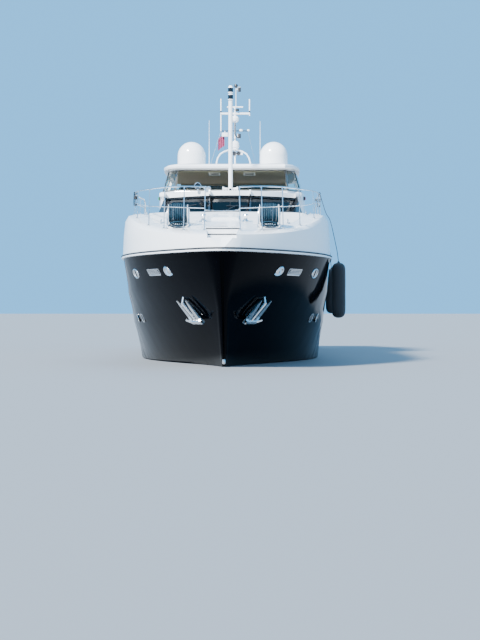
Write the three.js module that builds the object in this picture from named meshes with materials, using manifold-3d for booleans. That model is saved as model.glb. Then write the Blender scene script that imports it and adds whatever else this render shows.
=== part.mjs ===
// Motor yacht, 31 m long over all, with a raised foredeck and an enclosed upper bridge.
// Millimetres, +Z up. The origin is on the centreline, amidships, at the waterline.
// The bow points along -Y and the port side is +X.
import * as THREE from "three";
import { mergeVertices } from "three/addons/utils/BufferGeometryUtils.js";
import Module from "manifold-3d";

const wasm = await Module();
wasm.setup();

// Driving dimensions of the whole yacht
const LENGTH = 31000;
const GAP = 0.3;
const CLEAR = 6;

// A faceted bore whose flats just clear a round bar of the given radius
const BORE_SIDES = 16;
const BORE_TWIST = 0.13;
const boreFor = (radius) => (radius + GAP) / Math.cos(Math.PI / BORE_SIDES);

// Stations are counted aft from the stem head, and turn into Y here
const at = (station) => station - LENGTH / 2;

// Heights of the decks, roofs and floors above the waterline
const Z = {
  sheerBow: 3570,
  sheerAft: 3100,
  mainDeck: 3130,
  wheelhouseFloor: 4050,
  upperDeckUnder: 5300,
  upperDeck: 5450,
  coaming: 6450,
  brow: 6080,
  wheelhouseRoof: 6260,
  hardtopUnder: 7300,
  hardtop: 7480,
  platform: 520,
};

// Stations of the pieces along the yacht
const S = {
  mouldingEnd: 16300,
  houseEnd: 25200,
  deckEnd: 28900,
  upperDeckFront: 16120,
  upperDeckEnd: 28300,
  hardtopFront: 15750,
  hardtopEnd: 23600,
  platformFront: 29060,
  platformEnd: LENGTH - 45,
};

// Half-width of the houses, and the thickness of their walls and glass
const HOUSE_HALF = 2750;
const WALL = 80;
const GLASS = 20;

// Finishes
const finish = (color, roughness, metalness = 0, opacity = 1) =>
  new THREE.MeshStandardMaterial({ color, roughness, metalness, opacity, transparent: opacity < 1 });
const hullPaint = finish(0x0a0c12, 0.12);
const gelcoat = finish(0xf2f2ee, 0.25);
const teak = finish(0x9a7448, 0.7);
const darkGlass = finish(0x15181c, 0.05, 0, 0.85);
const clearGlass = finish(0xb9c3bd, 0.05, 0, 0.35);
const steel = finish(0xd5d8da, 0.15, 1);
const bronze = finish(0xa8803f, 0.35, 1);
const blueRope = finish(0x15507c, 0.9);
const blackRubber = finish(0x101012, 0.6);
const fabric = finish(0xd9d2c3, 0.85);
const joinery = finish(0x6b4a2d, 0.4);

const yacht = new THREE.Group();

// Mesh tools: closed geometries become solids that can be joined and cut.
// A shape's seam is sewn while it is still at the origin, where its numbers are exact.
function sewn(geometry) {
  const bare = geometry.clone();
  for (const name of Object.keys(bare.attributes)) {
    if (name !== "position") bare.deleteAttribute(name);
  }
  return mergeVertices(bare, 1e-3);
}

function solid(geometry) {
  const merged = sewn(geometry);
  return new wasm.Manifold(
    new wasm.Mesh({
      numProp: 3,
      vertProperties: new Float32Array(merged.attributes.position.array),
      triVerts: new Uint32Array(merged.index.array),
    }),
  );
}

function join(...solids) {
  return solids.reduce((whole, piece) => whole.add(piece));
}

function cut(body, ...tools) {
  return tools.reduce((whole, tool) => whole.subtract(tool), body);
}

function geometryOf(body) {
  const mesh = body.getMesh();
  const geometry = new THREE.BufferGeometry();
  geometry.setAttribute("position", new THREE.BufferAttribute(new Float32Array(mesh.vertProperties), 3));
  geometry.setIndex(new THREE.BufferAttribute(new Uint32Array(mesh.triVerts), 1));
  geometry.computeVertexNormals();
  return geometry;
}

function moved(body, x, y, z) {
  return solid(geometryOf(body).translate(x, y, z));
}

function mirrored(body) {
  const geometry = geometryOf(body);
  const position = geometry.attributes.position;
  for (let i = 0; i < position.count; i += 1) position.setX(i, -position.getX(i));
  const index = geometry.index;
  for (let i = 0; i < index.count; i += 3) {
    const first = index.getX(i);
    index.setX(i, index.getX(i + 1));
    index.setX(i + 1, first);
  }
  return solid(geometry);
}

function addPart(name, body, material) {
  const mesh = new THREE.Mesh(geometryOf(body), material);
  mesh.name = name;
  yacht.add(mesh);
}

// Adds a piece on the port side and its mirror image on the starboard side
function addPair(name, portBody, material) {
  addPart(`${name}_port`, portBody, material);
  addPart(`${name}_starboard`, mirrored(portBody), material);
}

function block(x0, x1, s0, s1, z0, z1) {
  const box = new THREE.BoxGeometry(x1 - x0, s1 - s0, z1 - z0);
  return solid(box.translate((x0 + x1) / 2, at((s0 + s1) / 2), (z0 + z1) / 2));
}

function outlineShape(points) {
  return new THREE.Shape(points.map(([a, b]) => new THREE.Vector2(a, b)));
}

// A plan outline of [x, station] points, raised from z0 to z1
function planPrism(points, z0, z1) {
  const shape = outlineShape(points.map(([x, s]) => [x, at(s)]));
  return solid(new THREE.ExtrudeGeometry(shape, { depth: z1 - z0, bevelEnabled: false }).translate(0, 0, z0));
}

// A plan outline with its upper and lower edges rounded
function softPlanPrism(points, z0, z1, round) {
  const shape = outlineShape(points.map(([x, s]) => [x, at(s)]));
  const options = {
    depth: z1 - z0 - 2 * round,
    bevelEnabled: true,
    bevelThickness: round,
    bevelSize: round,
    bevelOffset: -round,
    bevelSegments: 2,
  };
  return solid(new THREE.ExtrudeGeometry(shape, options).translate(0, 0, z0 + round));
}

// A side profile of [station, z] points, carried across from x0 to x1
function sidePrism(points, x0, x1) {
  const shape = outlineShape(points.map(([s, z]) => [at(s), z]));
  const geometry = new THREE.ExtrudeGeometry(shape, { depth: x1 - x0, bevelEnabled: false });
  geometry.rotateY(Math.PI / 2).rotateX(Math.PI / 2);
  return solid(geometry.translate(x0, 0, 0));
}

// A closed skin over rings of [x, y, z] points, closed at both ends from the ring's middle.
// The two sides are split into triangles as mirror images of each other.
function loft(rings) {
  const count = rings[0].length;
  const middle = (ring) => [0, 1, 2].map((k) => ring.reduce((sum, p) => sum + p[k], 0) / count);
  const points = rings.flat().concat([middle(rings[0]), middle(rings[rings.length - 1])]);
  const faces = [];
  rings.slice(1).forEach((_, i) => {
    for (let j = 0; j < count; j += 1) {
      const k = (j + 1) % count;
      const [a, b, c, d] = [i * count + j, i * count + k, (i + 1) * count + k, (i + 1) * count + j];
      const starboardSide = rings[i][j][0] + rings[i][k][0] < 0;
      if (starboardSide) faces.push([a, b, d], [b, c, d]);
      else faces.push([a, b, c], [a, c, d]);
    }
  });
  const last = (rings.length - 1) * count;
  for (let j = 0; j < count; j += 1) {
    const k = (j + 1) % count;
    faces.push([k, j, rings.length * count], [last + j, last + k, rings.length * count + 1]);
  }
  const corner = (i) => new THREE.Vector3(...points[i]);
  const volume = faces.reduce((sum, [a, b, c]) => sum + corner(a).dot(corner(b).cross(corner(c))), 0);
  const geometry = new THREE.BufferGeometry();
  geometry.setAttribute("position", new THREE.Float32BufferAttribute(points.flat(), 3));
  geometry.setIndex(faces.flatMap(([a, b, c]) => (volume > 0 ? [a, b, c] : [a, c, b])));
  return solid(geometry);
}

// A round bar between two [x, station, z] points, its sides turned by twist
function rod(from, to, radius, sides = 8, twist = 0) {
  const start = new THREE.Vector3(from[0], at(from[1]), from[2]);
  const end = new THREE.Vector3(to[0], at(to[1]), to[2]);
  const along = end.clone().sub(start);
  const geometry = sewn(new THREE.CylinderGeometry(radius, radius, along.length(), sides, 1, false, twist));
  const upright = new THREE.Vector3(0, 1, 0);
  const turn = new THREE.Quaternion().setFromUnitVectors(upright, along.clone().normalize());
  geometry.applyQuaternion(turn);
  const centre = start.add(end).multiplyScalar(0.5);
  return solid(geometry.translate(centre.x, centre.y, centre.z));
}

// A bent tube through [x, station, z] points
function tube(points, radius, steps, sides = 8) {
  const path = new THREE.CatmullRomCurve3(
    points.map(([x, s, z]) => new THREE.Vector3(x, at(s), z)),
    false,
    "centripetal",
  );
  const section = new THREE.Shape(
    Array.from({ length: sides }, (_, i) => {
      const angle = (i * 2 * Math.PI) / sides;
      return new THREE.Vector2(radius * Math.cos(angle), radius * Math.sin(angle));
    }),
  );
  return solid(new THREE.ExtrudeGeometry(section, { steps, extrudePath: path, bevelEnabled: false }));
}

// A turned piece: profile of [radius, height] points, standing on Z at x, station, z
function turned(profile, x, station, z, sides = 24) {
  const points = profile.map(([r, h]) => new THREE.Vector2(r, h));
  const geometry = sewn(new THREE.LatheGeometry(points, sides)).rotateX(Math.PI / 2);
  return solid(geometry.translate(x, at(station), z));
}

const clamp = (value, low = 0, high = 1) => Math.min(high, Math.max(low, value));
const mix = (a, b, t) => a + (b - a) * t;
const ease = (t) => clamp(t) ** 2 * (3 - 2 * clamp(t));

// Hull: longitudinal rows from the keel to the sheer.
// Columns: station and height on the stem, height amidships, height at the stern,
// half-breadth at the stem, greatest half-breadth, half-breadth at the stern,
// entry length, fullness of the entry, station of the row's after end
const HULL_ROWS = [
  { stem: [4300, -750], mid: -1350, stern: -1150, half: [50, 60, 60], entry: 5000, full: 1.0, end: 29500 },
  { stem: [3500, -300], mid: -690, stern: -560, half: [60, 1700, 1650], entry: 12e3, full: 1.35, end: 29480 },
  { stem: [3000, 250], mid: -90, stern: -60, half: [70, 3200, 3050], entry: 12000, full: 1.35, end: 29460 },
  { stem: [2850, 420], mid: 40, stern: 60, half: [75, 3320, 3160], entry: 11500, full: 1.3, end: 29450 },
  { stem: [1500, 1850], mid: 1400, stern: 1400, half: [110, 3400, 3260], entry: 1e4, full: 1.15, end: 29250 },
  { stem: [650, 2750], mid: 2400, stern: 2350, half: [160, 3460, 3320], entry: 9000, full: 1.0, end: 29050 },
  { stem: [0, 3570], mid: 3100, stern: 3100, half: [250, 3500, 3350], entry: 8000, full: 0.9, end: 28900 },
];
const SHEER = HULL_ROWS[HULL_ROWS.length - 1];

// Stations where the sheer is set out: closest together round the stem
const STEM_STATIONS = [0, 40, 110, 200];
const FORWARD_STEPS = 18;
const AFTER_STEPS = 8;
const steps = (count) => Array.from({ length: count }, (_, i) => (i + 1) / count);
const forwardStations = [...STEM_STATIONS, ...steps(FORWARD_STEPS).map((t) => S.mouldingEnd * t ** 1.4)];
const afterStations = steps(AFTER_STEPS).map((t) => S.mouldingEnd + (S.deckEnd - S.mouldingEnd) * t);
const sheerStations = [...forwardStations, ...afterStations];

function sheerHeight(station) {
  return mix(Z.sheerBow, Z.sheerAft, ease((station - 7000) / 9000));
}

function halfBreadth(row, station) {
  const [stem, widest, stern] = row.half;
  const entry = clamp((station - row.stem[0]) / row.entry);
  const nose = clamp((station - row.stem[0]) / stem);
  const rounding = mix(0.3, 1, Math.sqrt(1 - (1 - nose) ** 2));
  const side = rounding * mix(stem, widest, (1 - (1 - entry) ** 2) ** row.full);
  return side - (widest - stern) * clamp((station - 17000) / 12000) ** 2;
}

function rowHeight(row, station) {
  if (row === SHEER) return sheerHeight(station);
  const fall = 1 - (1 - clamp((station - row.stem[0]) / 9000)) ** 2;
  const forward = mix(row.stem[1], row.mid, fall);
  return forward + (row.stern - row.mid) * clamp((station - 17000) / 12000);
}

function hullRing(sheerStation) {
  const along = sheerStation / S.deckEnd;
  const port = HULL_ROWS.map((row) => {
    const station = mix(row.stem[0], row.end, along);
    return [halfBreadth(row, station), at(station), rowHeight(row, station)];
  });
  const starboard = port.map(([x, y, z]) => [-x, y, z]).reverse();
  return port.concat(starboard);
}

const hullForm = loft(sheerStations.map(hullRing));

// Stern stairs, one each side, from the cockpit down to the swim platform
const STAIR = { inner: 2250, outer: 3020, top: 26900, steps: 11, run: 240 };
const STAIR_RISE = (Z.sheerAft - Z.platform) / STAIR.steps;

function stairCut(xInner, xOuter) {
  const profile = [[STAIR.top, Z.sheerAft + 400]];
  for (let i = 0; i < STAIR.steps; i += 1) {
    const station = STAIR.top + i * STAIR.run;
    const tread = Z.sheerAft - (i + 1) * STAIR_RISE;
    profile.push([station, tread + STAIR_RISE], [station, tread]);
  }
  profile.splice(1, 1);
  profile.push([30000, Z.platform], [30000, Z.sheerAft + 400]);
  return sidePrism(profile, xInner, xOuter);
}

// Tender garage in the stern, behind the transom door
const GARAGE = { half: 1650, front: 26300, floor: 640, ceiling: 2350 };
const transomFace = (z) => 29464 - 0.186 * z;

const garageHollow = block(-GARAGE.half, GARAGE.half, GARAGE.front, 30000, GARAGE.floor, GARAGE.ceiling);

// Shaft line: one each side, sloping down aft out of the bottom
const SHAFT = { x: 1250, radius: 40, bore: 40 + CLEAR, front: [21300, -760], end: [27150, -1440] };
const shaftSlope = Math.atan2(SHAFT.front[1] - SHAFT.end[1], SHAFT.end[0] - SHAFT.front[0]);
const shaftHeight = (station) => SHAFT.front[1] - (station - SHAFT.front[0]) * Math.tan(shaftSlope);

const RUDDER = { x: 1250, station: 28150, stock: 42, bore: boreFor(42), top: -420, foot: -1720 };

function bothSides(body) {
  return join(body, mirrored(body));
}

const sternTubeBore = rod(
  [SHAFT.x, SHAFT.front[0] - 300, shaftHeight(SHAFT.front[0] - 300)],
  [SHAFT.x, 24000, shaftHeight(24000)],
  SHAFT.bore,
  16,
);
const rudderBore = rod([RUDDER.x, RUDDER.station, -380], [RUDDER.x, RUDDER.station, -1300], RUDDER.bore, 16);

const hull = cut(
  hullForm,
  bothSides(stairCut(STAIR.inner, STAIR.outer)),
  garageHollow,
  bothSides(sternTubeBore),
  bothSides(rudderBore),
);
addPart("hull", hull, hullPaint);

// Foredeck moulding: the white raised topside, shoulder and cambered foredeck
const WINDSCREEN = { foot: 12100, sweep: 1800, half: 2750, footZ: 5340, topZ: 6080, rake: 1500 };

// Height of the moulding's shoulder, and of its crown above the shoulder
function shoulderHeight(station) {
  const rise = clamp((station - 300) / 6200) ** 1.4;
  return 4030 + 890 * rise + 230 * clamp((station - 6500) / 6500);
}

function crown(station) {
  return 70 + 150 * ease((station - 5500) / 6500);
}

function mouldingRing(sheerStation) {
  const along = sheerStation / S.mouldingEnd;
  const spot = (start) => mix(start, S.mouldingEnd, along);
  const row = (start, inset, height) => {
    const station = spot(start);
    const half = halfBreadth(SHEER, station);
    return [half - Math.min(inset, half * 0.6), at(station), height(station)];
  };
  const port = [
    row(0, 0, (s) => sheerHeight(s) + GAP),
    row(100, 30, (s) => mix(sheerHeight(s), shoulderHeight(s), 0.5)),
    row(210, 80, (s) => mix(sheerHeight(s), shoulderHeight(s), 0.84)),
    row(330, 190, (s) => shoulderHeight(s) - 30),
    row(470, 400, (s) => shoulderHeight(s) + 10),
    row(600, 1300, (s) => shoulderHeight(s) + 10 + 0.75 * crown(s)),
  ];
  const centre = [0, at(spot(640)), shoulderHeight(spot(640)) + 10 + crown(spot(640))];
  const starboard = port.map(([x, y, z]) => [-x, y, z]).reverse();
  return [...port, centre, ...starboard];
}

const mouldingForm = loft(forwardStations.map(mouldingRing));

// Station of the windscreen's foot at x, swept aft towards the sides
const screenFoot = (x) => WINDSCREEN.foot + WINDSCREEN.sweep * (x / WINDSCREEN.half) ** 2;

function acrossBow(half, count, station) {
  return Array.from({ length: count + 1 }, (_, i) => {
    const x = mix(-half, half, i / count);
    return [x, station(x)];
  });
}

const wheelhouseHollow = planPrism(
  [...acrossBow(2600, 10, (x) => screenFoot(x) + 420), [2600, 16500], [-2600, 16500]],
  Z.wheelhouseFloor,
  6000,
);

// Bow boarding steps, let into the front of the moulding at the rail's gate
const bowSteps = join(
  planPrism([[-400, -200], [400, -200], [470, 950], [-470, 950]], 3850, 5000),
  planPrism([[-469, 900], [469, 900], [550, 2000], [-550, 2000]], 4010, 5000),
);

// Side steps down from the foredeck to the side deck, with the bulwark's swoop outside them
const SIDE_STEP = { inner: HOUSE_HALF + 30, front: 14300, count: 8, run: 260 };
function sideStepCut() {
  const topZ = 5400;
  const rise = (5150 - Z.mainDeck) / SIDE_STEP.count;
  const profile = [[SIDE_STEP.front, topZ]];
  for (let i = 0; i < SIDE_STEP.count; i += 1) {
    const station = SIDE_STEP.front + i * SIDE_STEP.run;
    const tread = 5150 - (i + 1) * rise;
    if (i > 0) profile.push([station, tread + rise]);
    profile.push([station, tread]);
  }
  profile.push([S.mouldingEnd + 100, Z.mainDeck], [S.mouldingEnd + 100, topZ]);
  return sidePrism(profile, SIDE_STEP.inner, 3370);
}
const bulwarkSwoop = sidePrism(
  [[13700, 5600], [13700, 5250], [14800, 4900], [15600, 4450], [16400, 4230], [16400, 5600]],
  SIDE_STEP.inner,
  3700,
);
const moulding = cut(
  mouldingForm,
  wheelhouseHollow,
  bowSteps,
  bothSides(sideStepCut()),
  bothSides(bulwarkSwoop),
);
addPart("foredeck_moulding", moulding, gelcoat);

// Everything that stands on the foredeck is trimmed to it, a hair above its surface
const foredeckTool = moved(mouldingForm, 0, 0, GAP);
const onForedeck = (body) => cut(body, foredeckTool);
const foredeckHeight = (x, station) => {
  const half = halfBreadth(SHEER, station);
  const side = clamp(Math.abs(x) / Math.max(half - 1300, 400));
  return shoulderHeight(station) + 10 + crown(station) * mix(1, 0.75, side);
};

// Main deck slab and the bulwarks outside it
const BULWARK_THICK = 130;
const deckEdge = (station) => halfBreadth(SHEER, station) - BULWARK_THICK - GAP;
const aftStations = [S.mouldingEnd + GAP, ...afterStations.slice(0, -1), S.deckEnd - 10];
const mainDeckPlan = [
  ...aftStations.map((s) => [deckEdge(s), s]),
  ...aftStations.toReversed().map((s) => [-deckEdge(s), s]),
];
const stairWell = block(STAIR.inner, STAIR.outer, STAIR.top, 30000, 2900, 3400);
const mainDeck = cut(planPrism(mainDeckPlan, Z.sheerAft + GAP, Z.mainDeck), bothSides(stairWell));
addPart("main_deck", mainDeck, teak);

function bulwarkRing(station) {
  const outer = halfBreadth(SHEER, station);
  const top = mix(4230, 3930, ease((station - 16300) / 5000));
  const y = at(station);
  const foot = Z.sheerAft + GAP;
  return [
    [outer - BULWARK_THICK, y, foot],
    [outer, y, foot],
    [outer - 30, y, top - 30],
    [outer - 60, y, top],
    [outer - BULWARK_THICK + 10, y, top],
    [outer - BULWARK_THICK, y, top - 30],
  ];
}
const bulwark = loft(aftStations.slice(0, -1).map(bulwarkRing));
addPair("bulwark", bulwark, gelcoat);

// Saloon house: side walls with long windows, and an after wall with a wide doorway
const HOUSE = {
  front: S.mouldingEnd + GAP,
  end: S.houseEnd,
  foot: Z.mainDeck + GAP,
  top: Z.upperDeckUnder - GAP,
};
const houseShell = cut(
  block(-HOUSE_HALF, HOUSE_HALF, HOUSE.front, HOUSE.end, HOUSE.foot, HOUSE.top),
  block(-HOUSE_HALF + WALL, HOUSE_HALF - WALL, HOUSE.front - 100, HOUSE.end - WALL, 2900, 5600),
);
const SALOON_WINDOW = [[18450, 3780], [24350, 3780], [24750, 4900], [18000, 4900]];
const SIDE_DOOR = { front: 16700, end: 17500, foot: 3175, top: 5200 };
const AFT_DOORWAY = { half: 1500, foot: 3160, top: 5150 };
const doorRail = block(HOUSE_HALF - 5, HOUSE_HALF + CLEAR - GAP, SIDE_DOOR.front - 40, 18350, 5215, 5235);
const house = cut(
  join(houseShell, bothSides(doorRail)),
  sidePrism(SALOON_WINDOW, -3000, 3000),
  block(-3000, 3000, SIDE_DOOR.front, SIDE_DOOR.end, SIDE_DOOR.foot, SIDE_DOOR.top),
  block(-AFT_DOORWAY.half, AFT_DOORWAY.half, 25000, 25400, AFT_DOORWAY.foot, AFT_DOORWAY.top),
);
addPart("saloon_house", house, gelcoat);

// Moves every edge of a convex outline inwards by a small clearance
function shrunk(points, by) {
  const count = points.length;
  const turn = THREE.ShapeUtils.isClockWise(points.map(([a, b]) => new THREE.Vector2(a, b))) ? -1 : 1;
  const inward = (from, to) => {
    const length = Math.hypot(to[0] - from[0], to[1] - from[1]);
    return [(-turn * (to[1] - from[1])) / length, (turn * (to[0] - from[0])) / length];
  };
  return points.map((point, i) => {
    const before = inward(points[(i + count - 1) % count], point);
    const after = inward(point, points[(i + 1) % count]);
    const scale = by / (1 + before[0] * after[0] + before[1] * after[1]);
    return [point[0] + (before[0] + after[0]) * scale, point[1] + (before[1] + after[1]) * scale];
  });
}

// Play left round a pane in its opening
const PANE_PLAY = 0.6;
const saloonPane = sidePrism(shrunk(SALOON_WINDOW, PANE_PLAY), HOUSE_HALF - 40 - GLASS, HOUSE_HALF - 40);
addPair("saloon_window", saloonPane, darkGlass);

// Side doors of the saloon, which slide aft along the outside of the house
const DOOR_LAP = 40;
const doorLeaf = cut(
  block(
    HOUSE_HALF + CLEAR,
    HOUSE_HALF + CLEAR + 40,
    SIDE_DOOR.front - DOOR_LAP,
    SIDE_DOOR.end + DOOR_LAP,
    SIDE_DOOR.foot - 30,
    SIDE_DOOR.top + DOOR_LAP,
  ),
  block(2500, 2900, SIDE_DOOR.front + 110, SIDE_DOOR.end - 110, 4000, 5050),
);
addPair("side_door", doorLeaf, gelcoat);

// After doors: a fixed leaf and a leaf that slides to starboard behind it
const LEAF = { station: S.houseEnd, thick: 40, foot: AFT_DOORWAY.foot + GAP, top: AFT_DOORWAY.top - CLEAR };
function glassLeaf(x0, x1, s0, foot, top) {
  const frame = 70;
  return cut(
    block(x0, x1, s0, s0 + LEAF.thick, foot, top),
    block(x0 + frame, x1 - frame, s0 - 50, s0 + 100, foot + frame, top - frame),
  );
}
const fixedLeaf = glassLeaf(
  -AFT_DOORWAY.half + GAP,
  0,
  LEAF.station - WALL,
  LEAF.foot,
  AFT_DOORWAY.top - GAP,
);
const slidingLeaf = glassLeaf(-10, AFT_DOORWAY.half - CLEAR, LEAF.station - 34, LEAF.foot, LEAF.top);
addPart("saloon_door_fixed", fixedLeaf, steel);
addPart("saloon_door", slidingLeaf, steel);

// Upper deck: the saloon's roof, which also shades the side decks and the cockpit
const upperHalf = (station) => mix(3080, 2700, ease((station - 21000) / 7300));
const upperStations = [S.upperDeckFront + 200, 18500, 21000, 23500, 26000, 27500];
const upperPlan = [
  ...upperStations.map((s) => [upperHalf(s), s]),
  [2350, S.upperDeckEnd],
  [-2350, S.upperDeckEnd],
  ...upperStations.toReversed().map((s) => [-upperHalf(s), s]),
];
const upperDeck = softPlanPrism(upperPlan, Z.upperDeckUnder, Z.upperDeck, 40);
addPart("upper_deck", cut(upperDeck, block(-4000, 4000, 15000, S.mouldingEnd + GAP, 5000, 6000)), gelcoat);

// Wheelhouse: raked pillars round the windscreen and side windows, under a roof with a brow
function tentRing(inset, z) {
  const up = (z - WINDSCREEN.footZ) / (WINDSCREEN.topZ - WINDSCREEN.footZ);
  const half = WINDSCREEN.half - inset - 170 * up;
  const front = acrossBow(half, 12, (x) => screenFoot(x) + WINDSCREEN.rake * up + inset * 2.4);
  return [...front, [half, 16400], [-half, 16400]].map(([x, s]) => [x, at(s), z]);
}
const tent = (inset, z0, z1) => loft([tentRing(inset, z0), tentRing(inset, z1)]);
const roofFrontHalf = 2710;
const roofPlan = [
  ...acrossBow(roofFrontHalf, 14, (x) => 12950 + 1500 * (x / roofFrontHalf) ** 2),
  [roofFrontHalf, S.upperDeckFront - GAP + 40],
  [-roofFrontHalf, S.upperDeckFront - GAP + 40],
];
const roof = cut(
  softPlanPrism(roofPlan, Z.brow, Z.wheelhouseRoof, 50),
  block(-4000, 4000, S.upperDeckFront - GAP, 17000, 5000, 7000),
);

function screenPane(x0, x1, margin) {
  const count = 6;
  const xs = Array.from({ length: count + 1 }, (_, i) => mix(x0 + margin, x1 - margin, i / count));
  return planPrism(
    [
      ...xs.map((x) => [x, screenFoot(x) + 60 + margin]),
      ...xs.toReversed().map((x) => [x, screenFoot(x) + WINDSCREEN.rake - 120 - margin]),
    ],
    5000,
    6300,
  );
}
const SCREEN_PANES = { starboard: [-2480, -790], centre: [-730, 730], port: [790, 2480] };
const WHEELHOUSE_WINDOW = [[14500, 5450], [15900, 5420], [15900, 5960], [15350, 5960]];
const wheelhouseShell = cut(
  tent(0, 5100, Z.brow + 60),
  tent(70, 5000, Z.brow + 200),
  block(-2600, 2600, 16000, 16600, 4000, Z.brow - 1),
);
const screenHoles = Object.values(SCREEN_PANES).map(([x0, x1]) => screenPane(x0, x1, 0));
const wheelhouse = cut(
  join(wheelhouseShell, roof),
  ...screenHoles,
  sidePrism(WHEELHOUSE_WINDOW, -3200, 3200),
  foredeckTool,
  block(-4000, 4000, S.upperDeckFront - GAP, 17000, 4000, 7000),
  block(-2600, 2600, 13000, 17000, 4000, 5350),
);
addPart("wheelhouse", wheelhouse, gelcoat);

const paneSkin = cut(tent(15, 5100, Z.brow - 10), tent(15 + GLASS, 5000, Z.brow + 10));
for (const [side, [x0, x1]] of Object.entries(SCREEN_PANES)) {
  const pane = paneSkin.intersect(screenPane(x0, x1, PANE_PLAY));
  addPart(`windscreen_${side}`, cut(pane, foredeckTool), darkGlass);
}
const wheelhousePane = paneSkin.intersect(sidePrism(shrunk(WHEELHOUSE_WINDOW, PANE_PLAY), 2000, 3200));
addPair("wheelhouse_window", wheelhousePane, darkGlass);

// Upper bridge coaming, standing on the upper deck
function coamingPlan(inset) {
  return [
    [-2200 + inset * 0.4, S.upperDeckFront + inset],
    [2200 - inset * 0.4, S.upperDeckFront + inset],
    [2790 - inset * 0.85, 17000 + inset * 0.5],
    [2960 - inset, 18500],
    [2960 - inset, 22000],
    [2560 - inset, 28000],
  ];
}
const coamingOuter = [...coamingPlan(0), ...coamingPlan(0).slice(2).toReversed().map(([x, s]) => [-x, s])];
const coamingInner = [
  ...coamingPlan(90).slice(0, 5),
  [2560 - 90, 28100],
  [-2560 + 90, 28100],
  ...coamingPlan(90).slice(2, 5).toReversed().map(([x, s]) => [-x, s]),
];
const coamingTop = sidePrism(
  [[19800, Z.coaming], [21000, 6350], [22600, 6080], [28500, 5900], [28500, 7000], [19800, 7000]],
  -4000,
  4000,
);
const coamingFoot = Z.upperDeck + GAP;
const coamingBand = cut(
  planPrism(coamingOuter, coamingFoot, Z.coaming),
  planPrism(coamingInner, coamingFoot - 100, Z.coaming + 100),
  coamingTop,
);
const frontSkirt = planPrism(
  [
    [-2200, S.upperDeckFront],
    [2200, S.upperDeckFront],
    [2260, S.upperDeckFront + 90],
    [-2260, S.upperDeckFront + 90],
  ],
  Z.upperDeckUnder + 60,
  Z.coaming,
);
const skirtReach = block(-4000, 4000, S.mouldingEnd, 17000, 5000, 6000);
const bridgeCoaming = cut(
  join(coamingBand, frontSkirt),
  moved(upperDeck, 0, 0, GAP).intersect(skirtReach),
  moved(upperDeck, 0, 0, -GAP).intersect(skirtReach),
);
addPart("bridge_coaming", bridgeCoaming, gelcoat);

// Hardtop: roof of the upper bridge, on raked mullions forward and broad legs aft
const hardtopPlan = [
  [-2100, S.hardtopFront],
  [2100, S.hardtopFront],
  [2480, 16250],
  [2700, 17100],
  [2750, 18300],
  [2750, 22300],
  [2580, 23300],
  [2200, S.hardtopEnd],
];
const hardtopOutline = [...hardtopPlan, ...hardtopPlan.slice(2).toReversed().map(([x, s]) => [-x, s])];
const hardtopPlate = softPlanPrism(hardtopOutline, Z.hardtopUnder, Z.hardtop, 80);

function bridgeRing(inset, z) {
  const up = (z - Z.coaming) / (Z.hardtopUnder - Z.coaming);
  const lean = 330 * up;
  const port = [
    [2200 - 80 * up - inset * 0.4, S.upperDeckFront + 20 + lean + inset],
    [2750 - 220 * up - inset * 0.85, 17010 + lean + inset * 0.5],
    [2910 - 250 * up - inset, 18500],
    [2910 - 250 * up - inset, 21400],
  ];
  return [...port, ...port.toReversed().map(([x, s]) => [-x, s])].map(([x, s]) => [x, at(s), z]);
}
const bridgeTent = (inset, z0, z1) => loft([bridgeRing(inset, z0), bridgeRing(inset, z1)]);
const SCREEN_FOOT = Z.coaming + GAP;
const bridgeFrame = cut(
  bridgeTent(0, SCREEN_FOOT, Z.hardtopUnder + 40),
  bridgeTent(60, SCREEN_FOOT - 50, Z.hardtopUnder - 1),
  block(-2700, 2700, 20500, 22000, 6000, Z.hardtopUnder - 1),
);
const FRONT_GLASS = [[-2155, 6510], [2155, 6510], [2085, 7270], [-2085, 7270]];
function frontPrism(points, s0, s1) {
  const shape = outlineShape(points);
  const geometry = new THREE.ExtrudeGeometry(shape, { depth: s1 - s0, bevelEnabled: false });
  return solid(geometry.rotateX(Math.PI / 2).translate(0, at(s1), 0));
}
const CORNER_GLASS = [[16300, 6510], [17150, 6510], [17420, 7270], [16600, 7270]];
const SIDE_GLASS = [[17330, 6510], [19650, 6510], [20150, 7270], [17620, 7270]];
const ARCH_SPACE = [[20250, 6200], [20650, 7260], [21500, 7260], [21500, 6200]];
const bridgeHoles = [frontPrism(FRONT_GLASS, 16000, 16700), sidePrism(SIDE_GLASS, -3200, 3200)];
const cornerReach = (inner) => block(inner, 3200, 16200, 17600, 6000, 7500);
const cornerHole = sidePrism(CORNER_GLASS, 2150, 3200).intersect(cornerReach(2200));
const hardtop = cut(
  join(bridgeFrame, hardtopPlate),
  ...bridgeHoles,
  bothSides(cornerHole),
  sidePrism(ARCH_SPACE, -3200, 3200),
);
const legRing = (x0, x1, s0, s1, z) => [[x0, at(s0), z], [x1, at(s0), z], [x1, at(s1), z], [x0, at(s1), z]];
const leg = cut(
  loft([
    legRing(2880, 2930, 20300, 22300, 5950),
    legRing(2560, 2660, 21600, 23000, Z.hardtopUnder + 60),
  ]),
  moved(coamingBand, 0, 0, GAP),
  moved(coamingBand, GAP, 0, 0),
  moved(coamingBand, -GAP, 0, 0),
);
addPart("hardtop", join(hardtop, leg, mirrored(leg)), gelcoat);

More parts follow.
